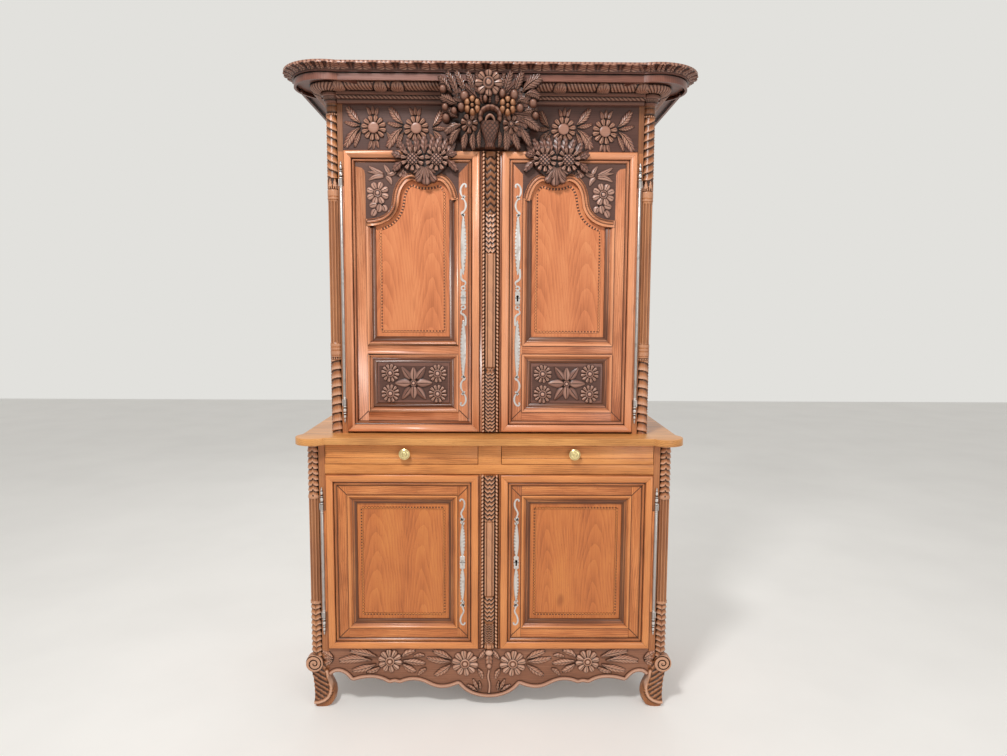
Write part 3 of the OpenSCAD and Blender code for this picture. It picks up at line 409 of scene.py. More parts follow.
def close_round(bm, verts):
    """Joins a net that has been bent round to meet itself, and closes its ends."""
    bmesh.ops.remove_doubles(bm, verts=verts, dist=0.01)
    close(bm, [v for v in verts if v.is_valid])


def rib(phase):
    """A row of round ribs with sharp hollows between them: 1 on a rib, 0 in a hollow."""
    across = 2 * (phase % 1) - 1
    return math.sqrt(max(0, 1 - across * across))


def saw(phase):
    """A zigzag between 0 and 1."""
    return abs(2 * (phase % 1) - 1)


def between(x, low, high):
    """How far x has gone from low to high, held within 0 and 1."""
    return min(1, max(0, (x - low) / (high - low)))


def scales(across, along, pitch, bow, tilt=0):
    """Height and wear of a row of overlapping scales. Each has a curved lower edge that stands proud of
    the next one below; a bow upwards makes arches of them."""
    edge = bow * math.sqrt(max(0, 1 - across * across)) + tilt * across
    up = ((along - edge) / pitch) % 1
    height = min(between(up, 0, 0.1), 1 - 0.85 * between(up, 0.1, 1))
    # Painted light: each scale's lip is pale as a highlight, and the crease just under it black as its
    # shadow.
    return height, 0.9 - 1.2 * between(up, 0.12, 0.8) - 0.8 * between(up, 0.82, 0.97) if up > 0.06 else -1.0


def flute(turn, count, from_end):
    """Depth of round-ended flutes, from 0 on the ridges to 1 in the middle of a flute."""
    across = 2 * ((turn * count / math.tau + 0.5) % 1) - 1
    past = max(0, 1 - from_end / 7)
    reach = math.hypot(across / 0.66, past)
    return math.sqrt(max(0, 1 - reach * reach))


def beads(turn, count, z, middle, radius):
    """Height of a ring of beads round a column, from 0 to 1."""
    across = 2 * ((turn * count / math.tau) % 1) - 1
    return math.sqrt(max(0, 1 - ((z - middle) / radius) ** 2 - across * across))


def column(bm, centre, side, z0, z1, relief):
    """A carved column. relief(turn, z) gives the height over the radius and the wear; turn is 0 at the
    front and grows towards the outer side."""
    def shape(u, v):
        turn, z = u * math.pi, z0 + (z1 - z0) * (v + 1) / 2
        height, wear = relief(turn, z)
        r = column_radius + height
        return Vector((side * (centre[0] + r * math.sin(turn)), centre[1] - r * math.cos(turn), z)), wear
    close_round(bm, sheet(bm, 48, round((z1 - z0) / 2.6), shape))


def lower_relief(turn, z):
    """Arched scallops at the top, flutes between two collars, and chevrons at the foot."""
    round_off = 1 - between(abs(turn), 1.7, 2.0)
    if z > 1047 or 845 < z < 856 or 424 < z < 434:
        return 1.5, 0.5
    if 434 < z < 845:
        deep = flute(turn, 10, min(z - 434, 845 - z)) if abs(turn) < 2.2 else 0
        return -3.5 * deep, 0.3 - 0.6 * min(1, 1.6 * deep)
    bow = -9 if z > 856 else 10
    rise, wear = scales((abs(turn) - 0.85) / 0.85, z, 22, bow)
    return 1.5 - 7 * (1 - rise) * round_off, wear * round_off


posts_bm = start()
lower_plan = [(633, -255), (657, -255), (657, -223), (690, -223), (690, -198), (633, -198)]
for side in (1, -1):
    column(posts_bm, lower_column, side, 150, counter_z, lower_relief)
    slab(posts_bm, [(side * x, y) for x, y in lower_plan], lying(counter_z), counter_z - 150, 0)


def at(table, x):
    """The value at x in a table of (x, value) pairs."""
    for (xa, a), (xb, b) in zip(table, table[1:]):
        if x <= xb:
            break
    return a + (b - a) * between(x, xa, xb)


def near(path, x, z):
    """Distance from a point to a path, less than 0 on its right hand."""
    best = math.inf
    for (xa, za), (xb, zb) in zip(path, path[1:]):
        dx, dz = xb - xa, zb - za
        t = between((x - xa) * dx + (z - za) * dz, 0, dx * dx + dz * dz)
        away = math.hypot(x - xa - t * dx, z - za - t * dz)
        if away < abs(best):
            best = away if dx * (z - za) - dz * (x - xa) > 0 else -away
    return best


foot_outer = [(0, 688), (18, 695), (42, 692), (62, 692), (95, 693), (125, 696), (154, 705), (190, 690)]
foot_inner = [(0, 640), (8, 622), (24, 611), (45, 607), (66, 610), (88, 620), (105, 629), (118, 633),
              (190, 633)]
toe_rim = [(640, 150), (633, 118), (627, 100), (624, 80), (627, 60), (636, 42), (652, 29), (672, 21),
           (692, 18)]


def foot(bm, side):
    """The leafy leg: a pale rim comes down from the apron and curls out along the toe, and five leaves
    fold over each other between the rim and the outer edge."""
    rim, leg_y, thick = 7, -229.5, 33

    def shape(u, v):
        z = 190 * (v + 1) / 2
        outer, inner = at(foot_outer, z), at(foot_inner, z)
        half, middle = (outer - inner) / 2, (outer + inner) / 2
        turn = u * math.pi
        square_off = max(abs(math.sin(turn)), abs(math.cos(turn))) ** 0.7
        x, y = math.sin(turn) / square_off, -math.cos(turn) / square_off
        front = between(math.cos(turn), -0.1, 0.35)
        away = near(toe_rim, middle + x * half, z)
        if abs(away) < rim:
            height, wear = 3 + 3 * math.sqrt(1 - (away / rim) ** 2), 1.5 - abs(away) / 4.2
        elif away < 0:
            height, wear = -4, -0.15 - 0.7 * between(abs(away), 11, rim)
        else:
            up = ((z - 0.75 * (x * half)) / 23) % 1
            height, wear = 6 * (up if up < 0.88 else (1 - up) * 7) - 1, 1.9 * up - 1.1 if up < 0.9 else -1
            if away < 10:
                wear = -0.9
        return Vector((side * (middle + x * (half + 0.2 * front * height)),
                       leg_y + y * (thick + front * height), z)), wear * front
    close_round(bm, sheet(bm, 64, 84, shape))


def volute(bm, side):
    """The round scroll above the leg: a spiral groove of a turn and a half with a boss in the middle."""
    cx, front_y, cz, radius, thick, rim = 687, -269, 183, 34, 34, 0.93

    def shape(u, v):
        turn, r = u * math.pi, (v + 1) / 2
        if r > rim:
            reach, depth, height, wear = radius, between(r, rim, 1) * thick, 0, 0.2
        else:
            reach, depth = radius * (r / rim) ** 0.9, 0
            lap = (reach / 15 + turn / math.tau) % 1
            groove = 1 - between(min(lap, 1 - lap), 0.0, 0.13) if reach > 5 else 0
            height = -5 * groove + 3 * rib(lap) - 3 * between(reach, 27, radius) ** 3
            wear = 0.7 - 1.8 * groove
        x, z = reach * math.sin(turn), reach * math.cos(turn)
        return Vector((side * cx + x, front_y - height + depth, cz + z)), wear
    close_round(bm, sheet(bm, 60, 26, shape))


for side in (1, -1):
    foot(posts_bm, side)
    volute(posts_bm, side)
finish(posts_bm, "lower_posts_wood", "case", column_oak, ["lower_front_posts"])

# Upper front posts. The same oak posts, with longer columns: a rope with a row of pearls, a collar of
# pointed leaves, a fluted shaft, a block of rings and a fat leafy twist at the foot.
upper_column = (600, -163)
hands = ((1, "right"), (-1, "left"))


def upper_relief(turn, z):
    """Twisted leaves and pearls, with the collars, flutes and rings between them."""
    front = 1 - between(abs(turn), 1.9, 2.3)
    if 2065 < z < 2296 or z < 1374:
        across = (turn + 0.35) / 1.5
        if across > 1:
            pearl = math.sqrt(max(0, 1 - ((turn - 1.4) * 22 / 5) ** 2 - (2 * (z / 11 % 1) - 1) ** 2))
            return (3.5 * pearl - 2) * front, (2.4 * pearl - 1.3) * front
        bow, tilt, pitch = (-10, 10, 30) if z > 1400 else (11, -3, 34)
        rise, wear = scales(max(-1, across), z, pitch, bow, tilt)
        return 1.5 - 6.5 * (1 - rise) * front, wear * front - 0.3 * (z > 1400)
    if 2034 < z < 2065:
        across = saw(turn * 7 / math.tau)
        within = between((2068 - z) / 34 - across, -0.05, 0.12)
        return (3.6 * within - 2.6) * front, (1.6 * within - 1.0) * front
    for middle in (2300, 2029, 1381):
        if abs(z - middle) < 5.5:
            ball = beads(turn, 16, z, middle, 5)
            return 3.5 * ball - 2, 2.2 * ball - 1.3
    if z > 2300 or 1984 < z < 2024 or 1440 > z > 1386:
        edge = min(abs(z - e) for e in (2309, 2330, 2024, 1997, 1985, 1440, 1425, 1412, 1392))
        return 1.5 * between(edge, 0, 3), between(edge, 0, 2) * 1.1 - 0.7 - 0.9 * (z > 2300)
    deep = flute(turn, 10, min(z - 1440, 1980 - z)) if abs(turn) < 2.3 else 0
    return -3.5 * deep, 0.3 - 0.6 * min(1, 1.6 * deep)


cornice_z = 2339
upper_plan = [(560, -175), (580, -175), (580, -143), (612, -143), (612, -123), (560, -123)]
for side, hand in hands:
    posts_bm = start()
    column(posts_bm, upper_column, side, counter_top, cornice_z, upper_relief)
    for top, bottom, wear in ((2165, counter_top, 0), (cornice_z, 2165, -0.5)):
        slab(posts_bm, [(side * x, y) for x, y in upper_plan], lying(top), top - bottom, 0, wear=wear)
    finish(posts_bm, f"upper_post_{hand}", "case", column_oak, ["upper_front_posts"])

# Apron. A board between the front posts, sawn to a serpentine edge with a raised pale rim, and carved
# with four daisies and feathery leaves. A stalk with a ball and a cup stands in the middle.
apron_oak = wood("stained oak, carved apron", "#CC9474", "#A36B4E", "#6E4430", "#180703", gloss=0.42,
                 figure=0.5, worn_and_highlight_pale="#DFB49C")
apron_half, apron_top = 632.8, 237


def curve(a, b, c, d, count=8):
    """Points of a cubic curve."""
    points = []
    for i in range(count + 1):
        t = i / count
        s = 1 - t
        points.append(tuple(s ** 3 * p + 3 * s * s * t * q + 3 * s * t * t * r + t ** 3 * w
                            for p, q, r, w in zip(a, b, c, d)))
    return points


def on_apron(*points):
    """Points given as shares of half the apron's width and of its height."""
    return [(x * apron_half, z * apron_top) for x, z in points]


apron_edge = (curve(*on_apron((0, .152), (.071, .152), (.145, .22), (.188, .392)))
              + curve(*on_apron((.188, .392), (.237, .338), (.303, .262), (.376, .38)))[1:]
              + curve(*on_apron((.376, .38), (.442, .481), (.503, .473), (.56, .397)))[1:]
              + on_apron((.591, .43))
              + curve(*on_apron((.623, .397), (.683, .523), (.774, .523), (.855, .439)))
              + curve(*on_apron((.855, .439), (.888, .6), (.958, .675), (1, .523)))[1:])
apron_line = [(-x, z) for x, z in reversed(apron_edge[1:])] + apron_edge


def on_face(y, side=1):
    """The front of an upright board at y: outwards from the middle of the buffet, up and out from it."""
    return lambda a, b, out: Vector((side * a, y - out, b))


def along_path(path, t):
    """The point at a share of a path, and the direction there."""
    place = between(t, 0, 1) * (len(path) - 1)
    i = min(int(place), len(path) - 2)
    (xa, za), (xb, zb) = path[i], path[i + 1]
    long = math.hypot(xb - xa, zb - za) or 1
    return (xa + (xb - xa) * (place - i), za + (zb - za) * (place - i)), ((xb - xa) / long, (zb - za) / long)


def smooth_path(path, count):
    """The same path with corners rounded and its points evenly spread."""
    for _ in range(2):
        cut = [path[0]]
        for (xa, za), (xb, zb) in zip(path, path[1:]):
            cut += [(xa * .75 + xb * .25, za * .75 + zb * .25), (xa * .25 + xb * .75, za * .25 + zb * .75)]
        path = cut + [path[-1]]
    gaps = [math.hypot(b[0] - a[0], b[1] - a[1]) for a, b in zip(path, path[1:])]
    total, points, i, gone = sum(gaps), [], 0, 0
    for k in range(count + 1):
        want = total * k / count
        while i < len(gaps) - 1 and gone + gaps[i] < want:
            gone += gaps[i]
            i += 1
        t = between(want - gone, 0, gaps[i])
        (xa, za), (xb, zb) = path[i], path[i + 1]
        points.append((xa + (xb - xa) * t, za + (zb - za) * t))
    return points


def roll(bm, path, to_space, width, rise, count, pattern=None):
    """A raised roll that follows a path. pattern(share, across, height) gives its own height and wear."""
    path = smooth_path(path, count)

    def shape(u, v):
        t = (v + 1) / 2
        (x, z), (dx, dz) = along_path(path, t)
        across = math.sin(u * math.pi / 2)
        height = rise * math.cos(u * math.pi / 2)
        wear = 0.9 * (1 - 2 * across * across)
        if pattern:
            height, wear = pattern(t, across, height)
        out = -1.5 if abs(u) > 0.99 or abs(v) > 0.999 else height
        half = width / 2
        return to_space(x - dz * across * half, z + dx * across * half, out), wear
    close(bm, sheet(bm, 6, count, shape))


leaf_steps = [-1, -.96, -.62, -.3, -.1, 0, .1, .3, .62, .96, 1]


def leaf(bm, to_space, path, width, rise=8, teeth=6, deep=0.14, blunt=0.0, lift=0.0, root=1.5, start_w=0.3,
         tone=0.0, widest=0.45):
    """A carved leaf with a sunk midrib, and with a toothed edge and slanting veins unless deep is 0. blunt
    rounds its tip, lift raises the tip, and root is how deep its rim goes into the ground."""
    path = smooth_path(path, 10)
    rows = max(10, teeth * 4) if deep else 10

    def shape(u, v):
        t, across = (v + 1) / 2, leaf_steps[round((u + 1) * 5)]
        tip = 1 - t ** (2.0 + 5 * blunt)
        half = width / 2 * tip ** 0.85
        half *= start_w + (1 - start_w) * math.sin(min(1, t / widest) * math.pi / 2)
        phase = (t * teeth + 0.15) % 1 if teeth > 1 else 0.5
        half *= 1 - deep * phase * (t < 0.94)
        swept = min(1, t + 0.16 * abs(across) * width / 30 * (t < 0.9) * (deep > 0))
        (x, z), (dx, dz) = along_path(path, swept)
        vein = max(0, 1 - 4.5 * min(phase, 1 - phase)) if deep else 0
        height = rise * (0.35 + 0.65 * (1 - abs(across) ** 1.6)) * (0.45 + 0.55 * tip) + lift * t
        height -= 0.22 * rise * vein * (abs(across) > 0.2) + 0.3 * rise * (across == 0)
        # Painted shade: the veins and midrib are dark, the edges and the side where across is over 0.2
        # darker, and the rim that sinks into the ground black, as the shadow round the leaf.
        wear = 0.62 - 1.1 * vein * (abs(across) > 0.2)
        wear -= 1.2 * (across == 0) + 0.9 * (abs(across) > 0.9) + 0.25 * (across > 0.2)
        if abs(across) == 1 or abs(v) > 0.999:
            height, wear = -root, -1.0
        return to_space(x - dz * across * half, z + dx * across * half, height), wear + tone
    close(bm, sheet(bm, 10, rows, shape))


def spray(bm, to_space, table, *carving, **more):
    """Leaves from a table that gives the three points of each one's path and its width."""
    for *path, width in table:
        leaf(bm, to_space, path, width, *carving, **more)


def fan(bm, to_space, middle, turns, reaches, width, *carving, squash=(1, 1), **more):
    """Leaves round a middle, one for each turn. reaches holds the radii that they go through."""
    for i, turn in enumerate(turns):
        c, s = math.cos(turn) * squash[0], math.sin(turn) * squash[1]
        path = [(middle[0] + c * r, middle[1] + s * r) for r in reaches[i % len(reaches)]]
        leaf(bm, to_space, path, width, *carving, **more)


def dome(bm, to_space, x, z, radius, rise, cross=0.0, flat=2.0, ring=0.0, root=1.5, tone=0.0, tall=1.0):
    """A domed disc, flatter for a higher number. cross cuts it into a net of small squares of that size,
    and ring cuts a round groove at that share of its radius."""
    def spot(a, b, r):
        height, wear = rise * max(0, 1 - r ** flat) ** 0.5, 0.75 - 1.5 * r ** (flat + 2)
        if ring and abs(r - ring) < 0.12:
            height, wear = height - 2, -0.9
        if cross:
            net = min(saw((a + b) / cross), saw((a - b) / cross))
            height -= 2.4 * (1 - between(net, 0, 0.45))
            wear = 1.8 * between(net, 0.05, 0.6) - 1.1
        return to_space(x + a, z + b, -root if r > 0.99 else height), (wear if r < 0.97 else -1.0) + tone

    def round_net(u, v):
        turn, r = u * math.pi, (v + 1) / 2
        return spot(r * radius * math.cos(turn), r * radius * tall * math.sin(turn), r)

    def square_net(u, v):
        a, b = u * math.sqrt(1 - v * v / 2), v * math.sqrt(1 - u * u / 2)
        return spot(a * radius, b * radius, math.hypot(a, b))
    if cross:
        close(bm, sheet(bm, 40, 40, square_net))
    else:
        close_round(bm, sheet(bm, 18, 7, round_net))


def daisy(bm, to_space, x, z, radius, disc, petals, rise, plain_disc=False, root=1.5, tone=0.0, flat=5.0):
    """A daisy: round-ended petals with a groove down each, round a raised disc."""
    fan(bm, to_space, (x, z), [math.tau * i / petals + 0.2 for i in range(petals)],
        [(disc * 0.75, (disc + radius) / 2, radius)], radius * 4.9 / petals, rise, 1, 0, blunt=1.4,
        start_w=0.5, widest=0.9, root=root, tone=tone)
    if plain_disc:
        dome(bm, to_space, x, z, disc, rise + 4, flat=9, root=root, tone=tone - 0.42)
        return
    dome(bm, to_space, x, z, disc, rise + 3, flat=flat, ring=0.46, root=root, tone=tone)
    dome(bm, to_space, x, z, disc * 0.3, rise + 5, tone=tone)


apron_bm = start()
apron_y = lower_face + 2
apron_face = on_face(apron_y)
outline = [(-apron_half, apron_top)] + apron_line + [(apron_half, apron_top)]
slab(apron_bm, outline, apron_face, 24, 1.5, wear=-0.22)
roll(apron_bm, [(x, z + 7) for x, z in apron_line], apron_face, 17, 6, 220)
for side, centre, outer in ((1, (94, 178), (390, 187)), (-1, (95, 179), (391, 189))):
    half_face = on_face(apron_y, side)
    for *path, width in (
            ((460, 190), (520, 200), (592, 187), 46), ((440, 206), (486, 222), (550, 230), 40),
            ((444, 176), (488, 158), (542, 146), 38), ((428, 166), (452, 148), (488, 140), 26),
            ((342, 190), (300, 184), (252, 176), 36), ((345, 205), (326, 222), (292, 231), 34),
            ((342, 178), (322, 158), (290, 142), 36), ((146, 197), (178, 214), (222, 230), 36),
            ((148, 176), (180, 148), (216, 126), 36), ((150, 188), (200, 188), (246, 200), 34),
            ((252, 212), (276, 214), (300, 206), 22), ((246, 158), (266, 148), (282, 128), 24),
            ((42, 196), (26, 212), (14, 232), 26), ((46, 158), (32, 138), (26, 112), 26),
            ((614, 204), (634, 214), (658, 228), 30), ((614, 194), (634, 184), (656, 168), 30),
            ((612, 200), (632, 200), (652, 200), 26), ((40, 66), (52, 88), (64, 114), 20),
            ((36, 64), (34, 84), (40, 106), 16), ((44, 64), (66, 78), (88, 90), 18)):
        teeth = max(4, round(math.dist(path[0], path[2]) / 14))
        leaf(apron_bm, half_face, path, width, 9, teeth, tone=0.1)
    daisy(apron_bm, half_face, *centre, 54, 22, 10, 10, tone=0.2)
    daisy(apron_bm, half_face, *outer, 49, 21, 10, 10, tone=0.2)
roll(apron_bm, [(0, 150), (-5, 120), (4, 92), (0, 52)], apron_face, 10, 6, 24)
dome(apron_bm, apron_face, 0, 168, 12, 12, tone=-0.1)
leaf(apron_bm, apron_face, [(0, 234), (0, 205), (0, 160)], 34, 8, 4, 0.1, blunt=0.2)
dome(apron_bm, apron_face, 0, 224, 17, 14, flat=3, tone=0.45, tall=0.8)
finish(apron_bm, "apron_carving", "case", apron_oak, ["apron"], grain=0)

# Cornice. Lengths of moulding run along the front and the sides, and over each column they break forward
# into a round lobe that rests on a turned capital. All of it is oak stained nearly black.
cornice_oak = wood("stained oak, dark cornice", "#9E6A56", "#784A3C", "#4C2B21", "#110401", gloss=0.34,
                   figure=0.5, worn_and_highlight_pale="#D2A086")
bands = [(15, 0), (15, 13), (24, 14), (24, 26), (33, 27), (33, 39)]
belly = curve((34, 39), (64, 41), (72, 52), (72, 64), 6)
drip = [(72, 64), (108, 64), (108, 52), (117, 52), (117, 75), (114, 75), (114, 78), (122, 79), (122, 86)]
hollow = curve((122, 86), (125, 96), (142, 97), (154, 99), 8)
leaf_band = hollow + [(154, 108)]
capital = [(22, 0), (25, 3), (30, 4), (30, 10), (27, 12), (31, 20), (37, 28), (39, 29), (39, 38)]
bowl = curve((40, 39), (70, 41), (80, 50), (81, 64), 6)
back_edge = [(154, 108), (0, 108), (-22, 108), (-22, 0), (15, 0)]
section = bands + belly + drip + hollow + [(154, 108), (-22, 108), (-22, 0)]


def dense(profile, longest):
    """A profile with points added, so that none are further apart than longest. Each point is
    (out, up, length so far)."""
    points, gone = [(*profile[0], 0)], 0
    for (xa, za), (xb, zb) in zip(profile, profile[1:]):
        gap = math.hypot(xb - xa, zb - za)
        steps = max(1, math.ceil(gap / longest))
        for i in range(1, steps + 1):
            points.append((xa + (xb - xa) * i / steps, za + (zb - za) * i / steps, gone + gap * i / steps))
        gone += gap
    return points


def run(bm, profile, to_space, length, relief, pitch):
    """A length of carved moulding. to_space(out, up, along) places it, and relief(up share, along) gives
    how far its surface stands proud, and its wear."""
    total = profile[-1][2]

    def shape(u, v):
        place, along = round((u + 1) / 2 * (len(profile) - 1)), (v + 1) / 2 * length
        out, up, gone = profile[place]
        middle = max(1, min(len(profile) - 2, place))
        (xa, za, _), (xb, zb, _) = profile[middle - 1], profile[middle + 1]
        dx, dz = xb - xa, zb - za
        long = math.hypot(dx, dz) or 1
        proud, wear = relief(gone / total, along)
        return to_space(out + dz / long * proud, up - dx / long * proud, along), wear
    sheet(bm, len(profile) - 1, max(1, round(length / pitch)), shape)


def plain(share, along):
    """A moulding without carving."""
    return 0, 0


def beaded_band(pitch):
    """Slanted beads in the middle one of the three bands, and plain bands over and under it."""
    def relief(share, along):
        if 0.36 < share < 0.62:
            bead_in = rib((along + 60 * (share - 0.49)) / pitch)
            return 3.2 * bead_in - 2.6, 2.0 * bead_in - 1.2
        return 0, 0.25 if share < 0.3 or share > 0.7 else -0.7
    return relief


def gadroons(pitch, lean, shells=()):
    """Slanted ribs, with half-round shells between them."""
    def relief(share, along):
        for middle in shells:
            away = math.hypot((along - middle) / 24, (share - 0.25) / 0.85)
            if away < 1:
                ray = saw(math.atan2(share + 0.05, (along - middle) / 40) * 3)
                return 5 * (1 - away ** 4) - 1.5 * ray, (0.9 - 1.1 * ray) if 0.75 > away else 0.6
            if away < 1.2:
                return -2, -1
        ribbed = rib((along + lean * share) / pitch)
        edge = between(min(share, 1 - share), 0, 0.12)
        return 4.0 * ribbed * edge - 2.5, 1.9 * ribbed - 1.2
    return relief


def leafage(unit):
    """A row of upright leaves along the hollow under the top edge, with dark gaps between."""
    def relief(share, along):
        across = abs(2 * ((along / unit) % 1) - 1)
        if share > 0.86:
            notch = rib(along / 16)
            return -2.2 * (1 - notch) * (share < 0.97), 0.9 * notch - 0.3
        edge = 0.80 - 0.35 * share + 0.12 * saw(share * 4)
        within = between(edge - across, -0.08, 0.1)
        vein = saw(share * 4.0 + across * 1.3)
        mid = 1 - between(across, 0.02, 0.1)
        small = between(across, 0.86, 0.98) * between(0.75 - share, 0, 0.2)
        height = within * (4.5 - 1.5 * vein - 2.5 * mid) + small * 3.5 - 2
        return height, within * (0.9 - 1.2 * vein - 0.8 * mid) - (1 - within) + small * 1.3
    return relief


def moulding(bm, to_space, length, shells=()):
    """A straight length of cornice: four carved mouldings, the plain top and back, and the sawn ends."""
    for profile, relief, step in ((bands, beaded_band(16), 2.6), (belly, gadroons(13, 20, shells), 2.2),
                                  (drip, plain, 40), (leaf_band, leafage(80), 3.2)):
        run(bm, dense(profile, 3.2), to_space, length, relief, step)
    run(bm, dense(back_edge, 200), to_space, length, plain, 300)
    for end in (2, length):
        slab(bm, section, lambda a, b, out: to_space(a, b, end + out), 2, 0)


def lobe_run(side, swell, size):
    """Wraps a moulding round the axis of a corner column, as if it were size in radius."""
    def to_space(out, up, along):
        turn = along / size - math.radians(75)
        r = out + swell
        return Vector((side * (upper_column[0] + r * math.sin(turn)), upper_column[1] - r * math.cos(turn),
                       cornice_z + up - 0.4))
    return to_space


front_end, side_x, side_start = 578, 612, upper_column[1] + 22
cornice_bm = start()
moulding(cornice_bm, lambda out, up, along: Vector((along - front_end, upper_face - out, cornice_z + up)),
         2 * front_end, [16, 170, 233, 833, 993, 1138])
lay_grain(cornice_bm, cornice_bm.verts, 0, (1.0, 0.3, 0.2))
finish(cornice_bm, "cornice_front", "case", cornice_oak, ["cornice"], grain=0)
for side, hand in hands:
    cornice_bm = start()
    moulding(cornice_bm, lambda out, up, along: Vector((side * (side_x + out), side_start + along,
                                                        cornice_z + up)), case_back - side_start)
    lay_grain(cornice_bm, cornice_bm.verts, 1, (2.0, side, 0.2))
    wide = math.radians(240)
    for profile, relief, swell, size, step in (
            (capital, beaded_band(9), 0, 60, 1.6), (bowl, gadroons(13, 20), 0, 70, 2.2),
            ([(56, 64)] + drip, plain, 21, 140, 4), (leaf_band, leafage(42), 21, 170, 2.6)):
        run(cornice_bm, dense(profile, 3.2), lobe_run(side, swell, size), wide * size, relief, step)
    # A board closes the top of the lobe, and a glue block the inner corner between front and side.
    for plan, top, thick in (([(591, -154)] + arc(*upper_column, 174.5, -165, 75, 60), 107.6, 4),
                             (oblong(572, -167, 598, -136), 107.2, 106.5)):
        slab(cornice_bm, [(side * x, y) for x, y in plan], lying(cornice_z + top), thick, 0)
    finish(cornice_bm, f"cornice_{hand}", "case", cornice_oak, ["cornice"])

# Frieze. The board over the doors, its ground cut back and stained nearly black. On each side of the
# crest it has two daisies with flat discs and feathery leaves, and behind, a mortise for the door's bolt.
frieze_bm = start()
frieze_y = upper_face + 2
frieze_board = [(559.8, 2171), (559.8, 2339), (-559.8, 2339), (-559.8, 2171)]
bolt_mortise = [(-104.5, 2171), (-104.5, 2189.5), (-94.5, 2189.5), (-94.5, 2171)]
slab(frieze_bm, frieze_board, on_face(frieze_y), 7, 0, wear=-0.62)
slab(frieze_bm, frieze_board + bolt_mortise, on_face(frieze_y + 7), 17, 0, wear=-0.62)
for side, daisies in ((1, ((274, 2251), (431, 2244))), (-1, ((282, 2251), (442, 2252)))):
    frieze_half = on_face(frieze_y, side)
    for x, z in daisies:
        for along, across, far, width in ((12, 44, 80, 20), (-8, 44, 78, 20), (2, 46, 84, 18),
                                          (10, -44, -80, 20), (-8, -44, -76, 20), (1, -46, -82, 18)):
            leaf(frieze_bm, frieze_half, [(x + along, z + across), (x + along * 1.4, z + (across + far) / 2),
                                          (x + along * 2.4, z + far)], width, 7, 1, 0, tone=-0.1)
        for *path, width in (((46, 14), (72, 36), (100, 78), 40), ((48, 2), (78, -18), (110, -72), 44),
                             ((50, 8), (80, 12), (112, 22), 24), ((46, -12), (62, -34), (74, -72), 26),
                             ((-46, -14), (-62, -34), (-72, -68), 24)):
            leaf(frieze_bm, frieze_half, [(x + a, z + b) for a, b in path], width, 9, 7, 0.16, tone=0.12)
    spray(frieze_bm, frieze_half, (((222, 2256), (200, 2280), (186, 2320), 38),
                                   ((222, 2246), (198, 2222), (186, 2186), 38),
                                   ((222, 2251), (196, 2252), (170, 2250), 26)), 9, 7, 0.16, tone=0.12)
    for x, z in daisies:
        daisy(frieze_bm, frieze_half, x, z, 49, 24, 12, 10, tone=0.15, plain_disc=True)
finish(frieze_bm, "frieze_carving", "case", cornice_oak, ["frieze"], grain=0)

# Crest. A separate block of oak pegged to the frieze and the cornice, and carved through nearly its whole
# depth: feathers and leaves fan out round a daisy, clusters of grapes and berries, and a basket.
crest_slope = [(2171, 34), (2248, 62), (2329, 104), (2391, 126), (2425, 134)]
crest_width = [(2171, 60), (2200, 118), (2240, 150), (2290, 160), (2340, 158), (2375, 120), (2396, 70)]


def crest_face(a, b, out):
    """The front of the crest, which leans forward towards its top."""
    return Vector((a, upper_face - at(crest_slope, b) - out, b))


def crest_body(u, v):
    """The dark block behind the carving, a little uneven from the gouge."""
    z = 2172 + 224 * (v + 1) / 2
    x = at(crest_width, z) * u
    out = -26 * abs(u) ** 5 - 3 + 1.6 * math.sin(z * 0.31) * math.sin(x * 0.23)
    if abs(u) > 0.99 or abs(v) > 0.99:
        out = -at(crest_slope, z) + 0.5
    return crest_face(x, z, out), -0.8


crest_oak = wood("stained oak, crest", "#8F5F4C", "#6A4436", "#432820", "#100301", gloss=0.34,
                 figure=0.5, worn_and_highlight_pale="#C0927C")
fruit_oak = wood("waxed oak, rubbed fruit", "#B57A54", "#905A3A", "#5A3322", "#160602", gloss=0.3,
                 figure=0.5, worn_and_highlight_pale="#CF9A74")
crest_bm = start()
close(crest_bm, sheet(crest_bm, 44, 40, crest_body))
fan(crest_bm, crest_face, (0, 2292), [math.radians(162 - 15.4 * i) for i in range(15)],
    [(60, 96, 128), (60, 96, 142)], 50, 9, 6, 0.12, squash=(1.16, 0.84), root=20, tone=-0.35)
spray(crest_bm, crest_face, (
    ((-28, 2312), (-34, 2334), (-32, 2358), 24), ((20, 2312), (24, 2334), (20, 2356), 24),
    ((-44, 2296), (-58, 2276), (-54, 2248), 26), ((38, 2296), (54, 2276), (50, 2248), 26),
    ((-4, 2310), (-6, 2330), (-5, 2352), 18), ((-92, 2318), (-112, 2330), (-132, 2334), 28),
    ((98, 2322), (120, 2334), (140, 2344), 28)), 10, 6, 0.14, root=20, tone=-0.15)
for *path, width in (
        ((-64, 2349), (-70, 2385), (-86, 2420), 26), ((-94, 2346), (-106, 2382), (-127, 2420), 26),
        ((-118, 2328), (-131, 2373), (-159, 2418), 26), ((-139, 2346), (-160, 2372), (-187, 2403), 26),
        ((47, 2341), (58, 2380), (75, 2421), 27), ((87, 2347), (97, 2380), (114, 2419), 27),
        ((108, 2347), (136, 2378), (180, 2402), 40), ((119, 2341), (146, 2352), (179, 2336), 30),
        ((-30, 2352), (-44, 2384), (-52, 2416), 22), ((30, 2352), (42, 2384), (48, 2416), 22),
        ((-119, 2312), (-148, 2322), (-182, 2340), 34), ((91, 2317), (112, 2332), (146, 2317), 24),
        ((-120, 2272), (-149, 2290), (-176, 2292), 30), ((114, 2289), (142, 2296), (172, 2300), 28)):
    leaf(crest_bm, crest_face, path, width * 1.3, 12, 8, 0.14, root=22, lift=2, tone=-0.1)
